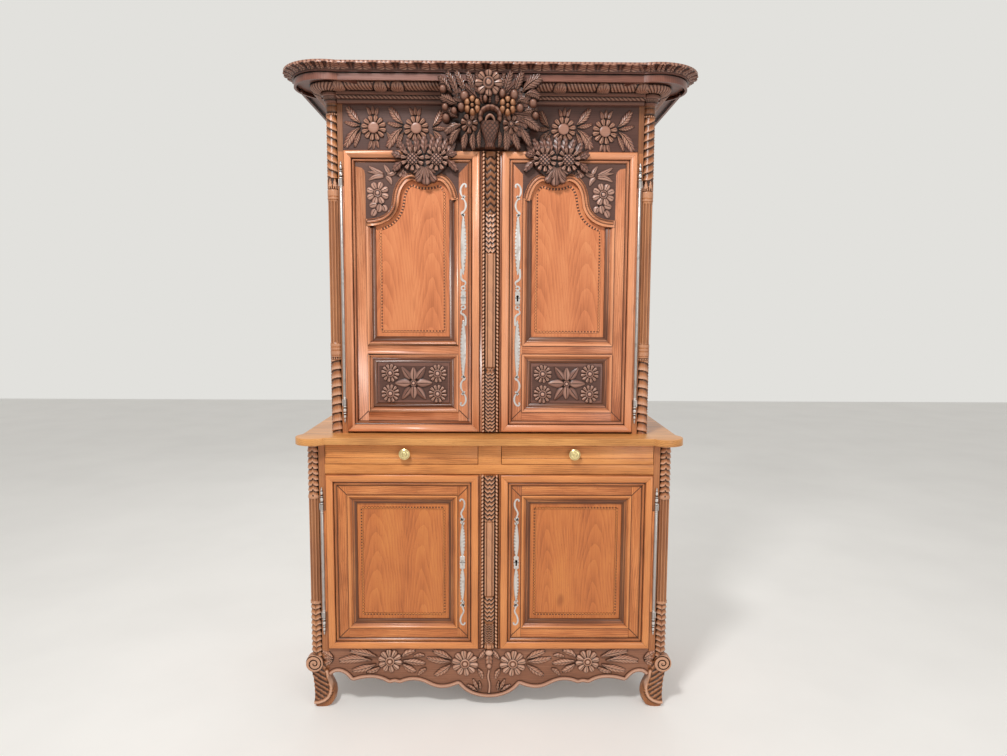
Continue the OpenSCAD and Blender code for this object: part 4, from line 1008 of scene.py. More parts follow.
for *path, width in (
        ((-106, 2251), (-143, 2243), (-170, 2222), 30), ((-110, 2238), (-138, 2217), (-150, 2184), 28),
        ((-88, 2230), (-99, 2198), (-102, 2170), 27), ((-62, 2230), (-70, 2198), (-64, 2168), 25),
        ((-38, 2238), (-46, 2205), (-42, 2172), 20), ((50, 2236), (62, 2200), (57, 2168), 30),
        ((82, 2232), (92, 2199), (107, 2171), 27), ((108, 2246), (128, 2216), (148, 2182), 28),
        ((107, 2271), (140, 2264), (180, 2236), 32), ((28, 2238), (36, 2205), (30, 2174), 18)):
    leaf(crest_bm, crest_face, path, width * 1.25, 10, 7, 0.14, root=18)
fan(crest_bm, crest_face, (-8, 2380), [math.radians(90 - 45 * i) for i in range(8)], [(16, 33, 51)], 30, 13,
    1, 0, squash=(1, 0.86), blunt=1.6, start_w=0.5, widest=0.8, root=24, lift=4, tone=0.15)
dome(crest_bm, crest_face, -8, 2380, 23, 24, flat=4, ring=0.5, root=8, tone=0.3)
dome(crest_bm, crest_face, -8, 2380, 7, 26, tone=0.4)
for x, z, radius, tall in ((-95, 2338, 19, 1), (42, 2347, 14, 1.3), (84, 2343, 17, 1.2), (153, 2316, 17, 1),
                           (163, 2279, 14, 1), (-166, 2303, 14, 1), (-164, 2270, 16, 1), (-172, 2360, 15, 1),
                           (-134, 2292, 14, 1), (106, 2302, 16, 1), (-108, 2304, 16, 1),
                           (-20, 2330, 10, 1.5)):
    dome(crest_bm, crest_face, x, z, radius, 24, root=14, tone=-0.3, tall=tall)
fruit_bm = start()
for x in (-67, 61):
    for i in range(6):
        turn = math.radians(30 + 60 * i)
        dome(fruit_bm, crest_face, x + 20 * math.cos(turn), 2307 + 19 * math.sin(turn), 12.5, 31, root=4,
             tall=1.15)
    dome(fruit_bm, crest_face, x, 2307, 9, 34, root=4)
    dome(crest_bm, crest_face, x, 2307, 30, 16, root=14, tone=-0.7)
for x, z in ((-79, 2253), (75, 2251)):
    daisy(crest_bm, crest_face, x, z, 33, 15, 7, 15, root=18, flat=3)


def ribbed_hood(t, across, height):
    """Eight ribs along the roll that arches over the basket."""
    return height + 3 * rib(t * 8) * across, 0.9 * rib(t * 8) - 0.5 + 0.3 * across


roll(crest_bm, [(-33, 2258), (-39, 2276), (-30, 2296), (-3, 2306), (25, 2296), (34, 2276), (28, 2258)],
     crest_face, 19, 26, 48, ribbed_hood)
roll(crest_bm, [(-17, 2252), (-18, 2268), (-3, 2281), (13, 2268), (12, 2252)], crest_face, 15, 24, 24)


def basket(u, v):
    """The basket: a foot and a flared body, cut into a net between two plain rims."""
    z = 2172 + 90 * (v + 1) / 2
    half = at([(2172, 19), (2180, 20), (2186, 17), (2204, 24), (2238, 36), (2262, 37)], z)
    turn = u * math.pi / 2
    net = min(saw((u * 3 + z / 17)), saw((u * 3 - z / 17)))
    rough = 3 * (between(net, 0, 0.45) - 1) * (2188 < z < 2250)
    out = 26 * math.cos(turn) + rough if abs(u) < 0.99 and abs(v) < 0.99 else -10
    return crest_face(-3 + half * math.sin(turn), z, out), 1.0 * between(net, 0, 0.5) - 0.95


close(crest_bm, sheet(crest_bm, 28, 44, basket))
finish(crest_bm, "crest_carving", "case", crest_oak, ["crest"])
finish(fruit_bm, "crest_fruit", "case", fruit_oak)

# Drawer knobs. Turned brass, rubbed bright on the face, each on a thin round plate. The motif in the
# middle is a plain ring.
def brass_metal():
    """Turned brass, lacquer long gone: a warm pale shine with duller brown in the turned grooves."""
    material, tree, shader = new_material("turned brass")
    stain = add(tree, "TexNoise", {"Vector": (add(tree, "TexCoord"), "Object"), "Scale": 90, "Detail": 4})
    high = (add(tree, "Attribute", attribute_name="high"), "Fac")
    dark = add(tree, "MapRange", {"Value": high, "From Min": 0.3, "From Max": -1.0})
    base = add(tree, "Mix", {0: stain, 6: linear("#D9C084"), 7: linear("#F1E2AC")}, data_type="RGBA")
    tone = add(tree, "Mix", {0: dark, 6: base, 7: linear("#6B5630")}, data_type="RGBA")
    rough = add(tree, "MapRange", {"Value": (stain, "Fac"), "To Min": 0.25, "To Max": 0.42})
    fill(tree, shader, {"Base Color": tone, "Roughness": rough})
    shader.inputs["Metallic"].default_value = 1
    return material


brass = brass_metal()


def turned(bm, profile, to_space, around=40):
    """A turned piece: each point of the profile is (radius, height, wear)."""
    def shape(u, v):
        r, up, wear = profile[round((v + 1) / 2 * (len(profile) - 1))]
        turn = u * math.pi
        return to_space(r * math.cos(turn), r * math.sin(turn), up), wear
    close_round(bm, sheet(bm, around, len(profile) - 1, shape))


knob_profile = [(0, 0, 0), (13, 0, 0), (13, 1, 0.4), (12, 2, 0), (6.5, 2.4, -1), (5.5, 8, -0.4), (6, 14, 0),
                (15, 17, -0.3), (20, 18.5, 0.2), (21.5, 20.5, 0.8), (21.2, 22.5, 0.8), (19, 24, 0.7),
                (17.6, 23.4, -0.9), (16.6, 24.4, 0.6), (12, 25.4, 0.7), (9, 25.2, 0.2), (8, 24.4, -0.9),
                (7, 25.2, 0.5), (3, 26, 0.8), (0, 26, 0.8)]
knob_x, knob_z = 325, 1022.4
for side, hand in hands:
    knob_bm = start()
    turned(knob_bm, knob_profile, lambda a, b, out: Vector((side * knob_x + a, lower_face - out, knob_z + b)))
    finish(knob_bm, f"{hand}_brass_knob", f"{hand}_drawer", brass, [f"{hand}_knob"])

# Door frames. Stiles and rails are pegged together, and mouldings are planted round them, mitred at the
# corners: a fat roll outside and a stepped hollow round the panels. Old wax lies dark in the mitres.
frame_oak = wood("waxed oak, lower door frames", "#E8985A", "#C67540", "#8E4E26", "#2A1007", gloss=0.34,
                 figure=1.15)
upper_frame_oak = wood("waxed oak, upper door frames", "#E8A074", "#CC8056", "#935436", "#2A1007",
                       gloss=0.34, figure=1.15)


def arch_line():
    """Lower edge of the arched top rail, from the meeting stile outwards."""
    first_x, width, top, fall = 124, 352, 2088, 174

    def p(share, down):
        return first_x + share * width, top - down
    waist = p(0.716, 0.6 * fall)
    return (curve(p(0, 97), p(0.02, 47), p(0.11, -2), p(0.23, 2)) + [p(0.30, 12), p(0.41, 12)]
            + curve(p(0.48, 0), p(0.61, -2), (waist[0] - 3.5, waist[1] + 62), waist)
            + curve(waist, (waist[0] + 3.5, waist[1] - 42), p(0.82, fall), p(1, fall))[1:])


def inside(path, width):
    """The same path moved to its right-hand side."""
    moved = []
    for i, (x, z) in enumerate(path):
        (xa, za), (xb, zb) = path[max(0, i - 1)], path[min(len(path) - 1, i + 1)]
        long = math.hypot(xb - xa, zb - za)
        moved.append((x + width * (zb - za) / long, z - width * (xb - xa) / long))
    return moved


arch_section = [(-13, 0, -1), (-13, 4, -0.7), (-11.5, 5.5, -0.1), (-10, 5, -0.6), (-9, 2, -1.3),
                (-7, 6.5, -0.8), (-3, 8.5, -0.1), (1, 8, -0.35), (4, 4.5, -1), (5, 1.5, -1.3),
                (6.5, 3.5, -0.1), (8.5, 2.5, -0.5), (9.5, -1, -0.9), (12, -8, -0.9), (13, -15, -1)]


def arch_moulding(bm, side):
    """The moulding round the arch: a roll between two fillets."""
    path = smooth_path(inside(arch_line(), 13), 96)
    place = on_face(upper_face, side)

    def shape(u, v):
        t = (v + 1) / 2
        (x, z), (dx, dz) = along_path(path, t)
        across, height, wear = arch_section[round((u + 1) / 2 * (len(arch_section) - 1))]
        x = min(476, max(124, x + dz * across))
        return place(x, z - dx * across, height if 0.001 < t < 0.999 else -15), wear
    made = sheet(bm, len(arch_section) - 1, 96, shape)
    lay_grain(bm, made, 0, (0.7, 0.2, 0.1))
    close(bm, made)


for case, face_y, oak, (left, low, right, high_end) in (
        ("lower", lower_face, frame_oak, (35.5, 241, 631, 939)),
        ("upper", upper_face, upper_frame_oak, (35.5, 1093, 558, 2169))):
    for side, hand in hands:
        node = f"{case}_{hand}_door_frame"
        bm = cad_boards(node)
        for verts in islands(bm):
            (front, back), (bottom, _) = span(verts)[1:]
            # The carved moulding below takes the place of the CAD's own fillets round the arch.
            if case == "upper" and -179.5 < front < -178.5 and back < -160 and bottom > 1850:
                bmesh.ops.delete(bm, geom=verts, context="VERTS")
        soften_corners(bm, 0.9, 0.6)
        high = bm.verts.layers.float["high"]
        for verts in islands(bm):
            wide, thick, tall = [last - first for first, last in span(verts)]
            lay_grain(bm, verts, 2 if tall > wide else 0, from_log())
            # Painted light: each planted moulding is pale at its front as a highlight, and dark in its deep
            # back parts as painted shade.
            if thick < 25:
                front = span(verts)[1][0]
                for v in verts:
                    v[high] = 0.7 if v.co.y < front + 2.5 else -0.85 if v.co.y > front + 8 else -0.2
        place = on_face(face_y - 0.15, side)
        for x, z, dx, dz in ((left, low, 1, 1), (right, low, -1, 1), (left, high_end, 1, -1),
                             (right, high_end, -1, -1)):
            if dz > 0 or case == "lower":
                mitre = [(x + dx * (far - 1), z + dz * (far + 1)) for far in (42, 85)]
                mitre += [(x + dx * (far + 1), z + dz * (far - 1)) for far in (85, 42)]
                slab(bm, mitre, place, 0.5, 0, wear=-1)
        if case == "upper":
            arch_moulding(bm, side)
        finish(bm, f"{node}_wood", f"{case}_{hand}_door", oak, [node])

# Panels. Each is glued up from two planks, quiet in their grain, with the tall arches of growth rings in
# the middle of each plank. It sits in a groove of the frame, and round its edge it is painted dark as the
# frame's shade.
panel_oak = wood("waxed oak, lower panels", "#D88848", "#C7733C", "#97502A", "#2E1208", gloss=0.38,
                 figure=0.85)
upper_panel_oak = wood("waxed oak, upper panels", "#DF9260", "#CE7C4E", "#A85C36", "#2E1208", gloss=0.38,
                       figure=0.8)


def bisect(bm, place, normal):
    """Cuts every face that a plane crosses, and gives the new edges."""
    made = bmesh.ops.bisect_plane(bm, geom=bm.verts[:] + bm.edges[:] + bm.faces[:], plane_co=place,
                                  plane_no=normal)
    return [item for item in made["geom_cut"] if isinstance(item, bmesh.types.BMEdge)]


for case, oak, middle, arch_z, (left, low, right, high_end) in (
        ("lower", panel_oak, 336, 0.2, (146, 345, 527, 835)),
        ("upper", upper_panel_oak, 300, 0.9, (146, 1454, 454, 2300))):
    for side, hand in hands:
        node = f"{case}_{hand}_door_panel"
        bm = cad_boards(node)
        bmesh.ops.split_edges(bm, edges=bisect(bm, (side * middle, 0, 0), (1, 0, 0)))
        bmesh.ops.holes_fill(bm, edges=[e for e in bm.edges if e.is_boundary], sides=0)
        for x in (left, right):
            bisect(bm, (side * x, 0, 0), (1, 0, 0))
        for z in (low, high_end):
            bisect(bm, (0, 0, z), (0, 0, 1))
        high = bm.verts.layers.float["high"]
        # Painted shade: points beyond the field's lines are made very dark, so the panel darkens towards its
        # edge under the frame.
        for vert in bm.verts:
            if not (left - 0.1 < side * vert.co.x < right + 0.1 and low - 0.1 < vert.co.z < high_end + 0.1):
                vert[high] = -1.6
        for verts in islands(bm):
            heart = side * middle + (-95 if span(verts)[0][0] < side * middle - 1 else 88)
            shift = (-heart * mm, planks.uniform(-0.02, 0.02), planks.uniform(-0.2, 0.2) - arch_z)
            lay_grain(bm, verts, 2, shift)
        finish(bm, f"{node}_wood", f"{case}_{hand}_door", oak, [node], sharp=8)


# Notched lines. A row of small triangles is cut into each panel with a corner chisel, a finger's width
# inside its edge, and follows the arch on the upper doors.
def notches(bm, path, to_space):
    """A line of notches along a path, with a ridge between each two."""
    pitch, width, gone = 12, 10, [0]
    for a, b in zip(path, path[1:]):
        gone.append(gone[-1] + math.dist(a, b))
    count = max(1, round(gone[-1] / pitch))

    def point(share):
        return [at([(far / gone[-1], p[k]) for far, p in zip(gone, path)], share) for k in (0, 1)]

    def shape(u, v):
        i = round((v + 1) / 2 * count * 4)
        share = i / (count * 4)
        x, z = point(share)
        (xa, za), (xb, zb) = point(max(0, share - 0.004)), point(min(1, share + 0.004))
        long = math.dist((xa, za), (xb, zb)) or 1
        dx, dz = (xb - xa) / long, (zb - za) / long
        # Painted shade: each shallow cut is painted nearly black, as the shadow in it, and the ridges between
        # pale.
        cut = abs(u) < 0.8 and i % 4 in (1, 2)
        height = -0.5 if abs(u) > 0.99 else 1.5 if cut else 2.6
        wear = -1.9 if cut else -0.8 if abs(u) > 0.99 else 0.8
        return to_space(x - dz * u * width / 2, z + dx * u * width / 2, height), wear
    close(bm, sheet(bm, 6, count * 4, shape))


box = [(177, 376), (496, 376), (496, 804), (177, 804), (177, 376)]
arch = [p for p in smooth_path(inside(arch_line(), 44), 60) if 178 < p[0] < 424]
for side, hand in hands:
    for case, face_y, oak, lines in (
            ("lower", lower_face, panel_oak, zip(box, box[1:])),
            ("upper", upper_face, upper_panel_oak, (
                [(177, 1486), (177, arch[0][1] - 6)], arch, [(423, arch[-1][1] - 6), (423, 1486)],
                [(423, 1486), (177, 1486)]))):
        bm = start()
        for line in lines:
            notches(bm, line, on_face(face_y + 14, side))
        finish(bm, f"{case}_{hand}_notched_line", f"{case}_{hand}_door", oak)

# Carved spandrels. The corners over the arches are cut back and stained, with sprays of leaves and a
# daisy left standing on the hinge side.
carved_oak = wood("stained oak, carved doors", "#986A57", "#744C3F", "#4E3026", "#150703", gloss=0.42,
                  figure=0.4, worn_and_highlight_pale="#D3A692")
ground = ([(86, 2124.5), (514, 2124.5), (514, 2110), (492, 2106), (481, 2096), (477, 2082), (477, 1915)]
          + list(reversed(arch_line())) + [(122, 1992), (122, 2086)])
for side, hand in hands:
    bm = start()
    place = on_face(upper_face - 0.4, side)
    slab(bm, ground, place, 4, 0, wear=-0.55)
    spray(bm, place, (
        ((404, 2080), (434, 2092), (467, 2114), 24), ((384, 2082), (392, 2098), (407, 2119), 22),
        ((402, 2074), (436, 2076), (468, 2056), 26), ((412, 2080), (442, 2088), (472, 2090), 16),
        ((400, 2074), (384, 2064), (376, 2040), 24), ((396, 2080), (372, 2082), (352, 2096), 22)),
          8, 1, 0, tone=0.15)
    fan(bm, place, (430, 2011), [math.radians(20 + 45 * i) for i in range(8)], [(14, 28, 45)], 26, 8, 1, 0,
        blunt=1.0, start_w=0.45, widest=0.75, tone=0.25)
    dome(bm, place, 430, 2011, 18, 10, flat=4, ring=0.5, tone=0.2)
    dome(bm, place, 430, 2011, 6, 12, tone=0.3)
    spray(bm, place, (
        ((432, 1972), (446, 1968), (464, 1962), 27), ((424, 1972), (424, 1956), (430, 1938), 27),
        ((436, 1952), (446, 1940), (452, 1922), 27), ((412, 1966), (404, 1956), (402, 1940), 27)),
          7, 1, 0, blunt=0.6, tone=0.1)
    spray(bm, place, (((326, 2104), (340, 2092), (352, 2072), 26),
                      ((322, 2096), (328, 2084), (330, 2066), 26)), 8, 2, 0.1, blunt=0.5)
    finish(bm, f"upper_{hand}_spandrel", f"upper_{hand}_door", carved_oak, grain=0)

# Sunflowers. One block of oak is pegged over each arch and carved into two sunflowers with netted discs,
# a fan of leaves above them and a shell with three tips that hangs over the crown of the arch.
bunch_middle = [(2046, 245), (2130, 246), (2206, 248)]
bunch_half = [(2046, 18), (2075, 40), (2090, 62), (2110, 84), (2150, 92), (2180, 78), (2206, 50)]
for side, hand in hands:
    bm = start()
    place, lift_face = on_face(upper_face - 12.5, side), on_face(upper_face - 20, side)

    def bunch_back(u, v):
        """The block behind the flowers, rounded towards its edge."""
        z = 2046 + 160 * (v + 1) / 2
        out = -8 if abs(u) > 0.99 or abs(v) > 0.99 else 7 - 6 * abs(u) ** 4
        return place(at(bunch_middle, z) + at(bunch_half, z) * u, z, out), -0.9
    close(bm, sheet(bm, 28, 24, bunch_back))
    spray(bm, lift_face, (
        ((272, 2150), (276, 2180), (282, 2216), 34), ((294, 2150), (302, 2180), (314, 2211), 34),
        ((316, 2146), (330, 2172), (342, 2198), 34), ((228, 2150), (222, 2182), (216, 2217), 34),
        ((208, 2150), (200, 2184), (188, 2219), 36), ((186, 2150), (174, 2182), (160, 2213), 34),
        ((172, 2146), (152, 2172), (134, 2198), 34), ((250, 2148), (250, 2184), (250, 2219), 40),
        ((330, 2140), (352, 2150), (372, 2160), 34), ((170, 2136), (146, 2116), (128, 2092), 34),
        ((166, 2146), (146, 2154), (129, 2160), 30), ((330, 2126), (350, 2112), (368, 2092), 36)),
          10, 4, 0.08, root=16, tone=-0.25)
    fan(bm, lift_face, (250, 2118), [math.radians(-141 + 17 * i) for i in range(7)],
        [(8, 32, 58), (8, 32, 66)], 17, 8, 1, 0, blunt=0.4, root=16, tone=-0.1)
    spray(bm, place, (((232, 2082), (220, 2066), (206, 2054), 30),
                      ((258, 2082), (270, 2066), (284, 2054), 30),
                      ((245, 2084), (245, 2064), (245, 2038), 34)),
          14, 1, 0, blunt=1.4, root=10, start_w=0.5, widest=0.8, tone=-0.2)
    for x in (204, 294):
        fan(bm, lift_face, (x, 2135), [math.tau * (i + 0.3) / 11 for i in range(11)], [(22, 33, 45)],
            17.5, 10, 1, 0, blunt=2.2, start_w=0.4, widest=0.95, root=16, lift=7, tone=0.15)
        dome(bm, lift_face, x, 2135, 26, 17, cross=15, flat=3, root=10, tone=-0.1)
    finish(bm, f"upper_{hand}_sunflowers", f"upper_{hand}_door", carved_oak,
           [f"upper_{hand}_flowers"], grain=0)

# Low panels. At the foot of each upper door is a small panel with a stained ground between two plain
# strips. It is carved with four broad leaves, four slim ones and a daisy in each corner.
low_middle = (300, 1284)
for side, hand in hands:
    bm = start()
    for board, sunk, thick, edge, wear in (((159.2, 1206.2, 440.8, 1363.8), 9, 5, 2, 0),
                                           ((124, 1171, 476, 1399), 14, 10, 0.5, 0),
                                           ((166, 1217, 434, 1351), 8.6, 4, 0, -0.5)):
        slab(bm, oblong(*board), on_face(upper_face + sunk, side), thick, edge, wear=wear)
    place = on_face(upper_face + 8.6, side)
    fan(bm, place, low_middle, [math.radians(90 * i + (54, 36)[i % 2]) for i in range(4)], [(16, 50, 84)], 36,
        9, 2, 0, start_w=0.2, tone=-0.25)
    fan(bm, place, low_middle, [math.radians(90 * i) for i in range(4)], [(8, 43, 78), (8, 37, 66)], 42,
        9, 2, 0, start_w=0.2, tone=-0.05)
    dome(bm, place, *low_middle, 15, 10, flat=4, ring=0.5, tone=0.2)
    for x, z in ((391, 1323), (391, 1243), (206, 1322), (206, 1242)):
        daisy(bm, place, x, z, 37, 19, 12, 8, tone=0.25, flat=3)
    finish(bm, f"upper_{hand}_carved_panel", f"upper_{hand}_door", carved_oak,
           [f"upper_{hand}_low_panel"], grain=0)

# Pilasters. A carved strip is nailed over the gap between each pair of doors, on the left door: a rounded
# shaft between two rows of beads, cut with ears of wheat, plain rods, a flower and a leafy branch.
def rows(x, z, pitch):
    """Grains of wheat in rows that rise at the stalk and at both sides. Gives the height from 0 to 1, and
    the wear."""
    up = ((z - 0.9 * abs(abs(x) - 7)) / pitch) % 1
    height = min(between(up, 0, 0.15), 1 - 0.9 * between(up, 0.15, 1))
    # Painted light: each grain's lip is pale as a highlight, and the crease under it black as its shadow.
    return height, 1.2 - 2.3 * between(up, 0.15, 0.85) if up > 0.08 else -1.0


def pilaster_relief(zones, x, z):
    """Height over the back of the strip, and wear."""
    away = abs(x)
    low, high, kind = next((zone for zone in zones if zone[0] <= z < zone[1]), (z, z, "rest"))
    if away > 21.5:
        along = (z + 0.5 * away) / 14.5
        bead = math.sqrt(max(0, 1 - ((away - 27.3) / 5.6) ** 2 - (2 * (along % 1) - 1) ** 2))
        return 10 + 6 * bead - (1 if away > 32 else 0), 2.4 * bead - 1.3
    if away > 19.5:
        return 9, -1
    body = 9.5 + 8 * math.sqrt(1 - (away / 19.8) ** 2)
    edge = min(z - low, high - z)
    if kind == "rod":
        groove = 1 - between(abs(away - 10.5), 0.6, 2)
        fall = between(5 - edge, 0, 5)
        return body - 1.8 * groove - 3 * fall, 0.45 - 0.9 * groove - fall
    if kind == "branch":
        rise = rib((z + 0.9 * min(away, 14) - 1.3 * max(0, away - 14)) / 25)
        vein = saw(away / 4.5 + z / 30)
        return body - 5 + 5 * rise - 1.2 * vein, 1.7 * rise - 0.6 * vein - 1.75
    if kind == "flower":
        r = math.hypot(x, z - (low + high) / 2) / 13
        petal = math.cos(math.atan2(x, z - (low + high) / 2) * 6)
        return 12 + 4 * max(0, 1 - (r - 0.2 * petal)), 0.9 - 1.4 * r + 0.4 * petal if r > 0.3 else -0.8
    if kind == "rest":
        return body - 4, -0.3
    rise, wear = rows(x, z, kind)
    return min(body, 16) - 5.5 * (1 - rise), wear


def pilaster(case, face_y, z0, z1, zones):
    """One strip, on the left door. Each zone is its lowest and highest point and its kind, or a pitch."""
    def shape(u, v):
        z = z0 + (z1 - z0) * (v + 1) / 2
        x = 33 * u
        height, wear = pilaster_relief(zones, x, z)
        if abs(u) > 0.999 or abs(v) > 0.9999:
            height = 0.2
        return Vector((x, face_y - height, z)), wear
    bm = start()
    close(bm, sheet(bm, 48, round((z1 - z0) / 2.4), shape))
    finish(bm, f"{case}_wheat_pilaster", f"{case}_left_door", column_oak, [f"{case}_pilaster"])


pilaster("lower", lower_face, 243, 939,
         [(243, 262, "rod"), (269, 346, 9.5), (355, 452, 17), (457, 757, "rod"), (757, 939, 17)])
pilaster("upper", upper_face, 1093, 2169, [(1093, 1327, 14), (1327, 1346, "flower"), (1346, 1788, "rod"),
                                           (1788, 1934, 19), (1936, 2148, "branch")])

# Steel plates. Cut from sheet steel, filed, engraved and polished, and nailed to the meeting stiles: a
# saw-edged leaf on each side of the key plate, a ring, and scrolls at the ends. The left ones are blind.
def polished_steel():
    """Old polished steel: grey with a broad soft shine, fine file marks along its length, darker specks
    of rust, and black in the engraved lines."""
    material, tree, shader = new_material("polished steel, old")
    place = (add(tree, "TexCoord"), "Object")
    cloud = add(tree, "TexNoise", {"Vector": place, "Scale": 38, "Detail": 5})
    filed = add(tree, "Mapping", {"Vector": place, "Scale": (900, 900, 40)})
    marks = add(tree, "TexNoise", {"Vector": filed, "Scale": 1.0})
    rust = add(tree, "MapRange", {"Value": (cloud, "Fac"), "From Min": 0.55, "From Max": 0.75, "To Max": 0.6})
    base = add(tree, "Mix", {0: marks, 6: linear("#C3BDB8"), 7: linear("#E9E4E0")}, data_type="RGBA")
    spotted = add(tree, "Mix", {0: rust, 6: base, 7: linear("#94806F")}, data_type="RGBA")
    high = (add(tree, "Attribute", attribute_name="high"), "Fac")
    cut = add(tree, "MapRange", {"Value": high, "From Min": 0.0, "From Max": -1.0})
    tone = add(tree, "Mix", {0: cut, 6: spotted, 7: linear("#1C1512")}, data_type="RGBA")
    rough = add(tree, "MapRange", {"Value": (cloud, "Fac"), "To Min": 0.3, "To Max": 0.5})
    bump = add(tree, "Bump", {"Height": marks, "Strength": 0.2, "Distance": 0.0003})
    fill(tree, shader, {"Base Color": tone, "Roughness": rough, "Normal": bump})
    shader.inputs["Metallic"].default_value = 0.85
    return material


steel = polished_steel()


def strip(bm, path, to_space, widths, count=26, engrave=1.0):
    """A flat strip of sheet steel along a path. widths gives its width along the path, and a line is
    engraved beside each edge."""
    path = smooth_path(path, count)

    def shape(u, v):
        t = (v + 1) / 2
        (x, z), (dx, dz) = along_path(path, t)
        half = at(widths, t) * 0.62
        across = (-1, -0.96, -0.55, -0.35, 0.35, 0.55, 0.96, 1)[round((u + 1) * 3.5)]
        out = -0.3 if abs(across) == 1 or abs(v) > 0.999 else 1.6
        line = -0.7 * engrave if abs(across) in (0.55, 0.35) and half > 6 else 0
        return to_space(x - dz * across * half, z + dx * across * half, out), line if out > 0 else -0.6
    close(bm, sheet(bm, 7, count, shape))


def saw_blade(bm, to_space, low, high, back, belly, teeth):
    """A leaf with one smooth edge and one cut into teeth that lean forwards."""
    def shape(u, v):
        t, across = (v + 1) / 2, round((u + 1) * 3) / 6
        body = math.sin(math.pi * t ** 0.85) ** 0.6 if 0 < t < 1 else 0
        tooth = (t * teeth) % 1
        reach = belly * body * (1 - 0.34 * tooth)
        x = across * reach - (1 - across) * back * body
        z = low + (high - low) * t + 5 * across * body
        out = -0.3 if abs(u) > 0.99 or abs(v) > 0.999 else 1.6
        vein = -0.5 if tooth > 0.75 and across > 0.75 else 0
        return to_space(x, z, out), vein if out > 0 else -0.6
    close(bm, sheet(bm, 6, teeth * 5, shape))


def half_plate(bm, place, key_z, turn, upper):
    """One end of a plate, from the key upwards, or turned half round downwards."""
    def to_space(a, b, out):
        return place(plate_x - turn * a, key_z + turn * b * (1.035 if turn > 0 and upper else 1.01), out)
    strip(bm, [(0, -4), (0, 10), (0, 27)], to_space,
          [(0, 17), (0.35, 17), (0.5, 14), (0.8, 17), (0.92, 13), (1, 4)], 12, 0)
    if upper:
        strip(bm, arc(0, 36, 7.5, 0, 360, 12), to_space, [(0, 5), (1, 5)], 26, 0)
        strip(bm, [(3, 44), (9, 50), (9, 60), (0, 63), (-9, 72), (-9, 92), (-6, 108)], to_space,
              [(0, 3), (0.2, 5), (0.35, 7), (0.6, 6), (1, 8)])
        saw_blade(bm, to_space, 84, 312, 11, 14, 17)
        for a, b in ((8, 308), (-8, 306)):
            strip(bm, [(0, 298), (a * 0.6, (298 + b) / 2 + 4), (a, b)], to_space,
                  [(0, 6), (0.6, 6), (1, 1)], 8)
        strip(bm, [(-2, 300), (-6, 312), (4, 318), (11, 334), (8, 354), (-3, 366)], to_space,
              [(0, 4), (0.15, 9), (0.3, 5), (0.6, 6.5), (1, 3)])
        for a, b in ((9, 374), (-9, 362), (3, 378)):
            strip(bm, [(-1, 364), (a * 0.5, (364 + b) / 2), (a, b)], to_space, [(0, 6), (0.5, 5), (1, 1)], 8)
        strip(bm, [(2, 366), (-9, 378), (-11, 398), (-3, 414), (8, 418), (12, 408), (6, 404)], to_space,
              [(0, 3), (0.3, 6), (0.65, 5.5), (0.9, 5), (1, 6)])
    else:
        saw_blade(bm, to_space, 20, 158, 10, 13, 11)
        for a, b in ((9, 176), (-9, 178), (8, 160), (-8, 164)):
            strip(bm, [(0, b - 12), (a * 0.6, b - 5), (a, b)], to_space, [(0, 6), (0.6, 6), (1, 1)], 8)
        strip(bm, [(0, 156), (-2, 170), (0, 184)], to_space, [(0, 4), (0.4, 8), (0.7, 9), (1, 5)], 8)
        strip(bm, [(0, 180), (-7, 196), (6, 216), (9, 236), (2, 250), (-8, 250), (-9, 240)], to_space,
              [(0, 5), (0.3, 5.5), (0.6, 5.5), (0.9, 5), (1, 6)])


def keyhole_mark(bm, to_space, deep):
    """The keyhole, a raised piece painted black as the shade inside the hole, or on a blind plate the
    engraved outline of one.
    """
    outline = arc(0, 6, 5, -55, 235, 14) + [(-3.2, -13), (3.2, -13)]
    slab(bm, outline, lambda a, b, out: to_space(a, b, 1.9 + out), 1.4, 0, wear=-1.2 if deep else -0.25)


plate_x = 105
for case, key_z, face_y in (("lower", 590, lower_face), ("upper", 1617, upper_face)):
    for side, hand in hands:
        bm = start()
        place = on_face(face_y, side)
        for turn in (1, -1):
            half_plate(bm, place, key_z, turn, case == "upper")
        keyhole_mark(bm, lambda a, b, out: place(plate_x + a, key_z + b, out), side > 0)
        finish(bm, f"{case}_{hand}_steel_plate", f"{case}_{hand}_door", steel,
               [f"{case}_{hand}_plate"], sharp=30)

# Hinges. A long steel sleeve turns on a pin, whose ends stand out above and below as turned finials on a
# leaf nailed to the post. The sleeve's own leaf is let into the door, under a strip of its wood.
def finial(tip):
    """Radius, distance from the sleeve and wear of a finial, from the sleeve to its tip."""
    table = [(6.5, 0, 0), (6.5, 24, 0), (5, 25, -0.9), (7, 27, 0.4), (7, 30, 0.4), (4.6, 32, -0.8),
             (4.6, 35, -0.5), (6.4, 38, 0.3), (7, 43, 0.6), (6.2, 49, 0.2), (4.6, 52, -0.9),
             (6.6, 54, 0.5), (6.6, 56, 0.4), (3.6, 58, -0.9), (3.4, 61, -0.4), (4.8, 64, 0.4),
             (5.4, 69, 0.7), (4.4, 74, 0.3), (2.8, 77, -0.9), (3.8, 79, 0.4), (3.0, 84, 0.3),
             (2.2, 88, 0.0), (2.5, 89.5, 0.5), (0, 92, 0.6)]
    return [(r, tip * up, wear - 0.35) for r, up, wear in table]


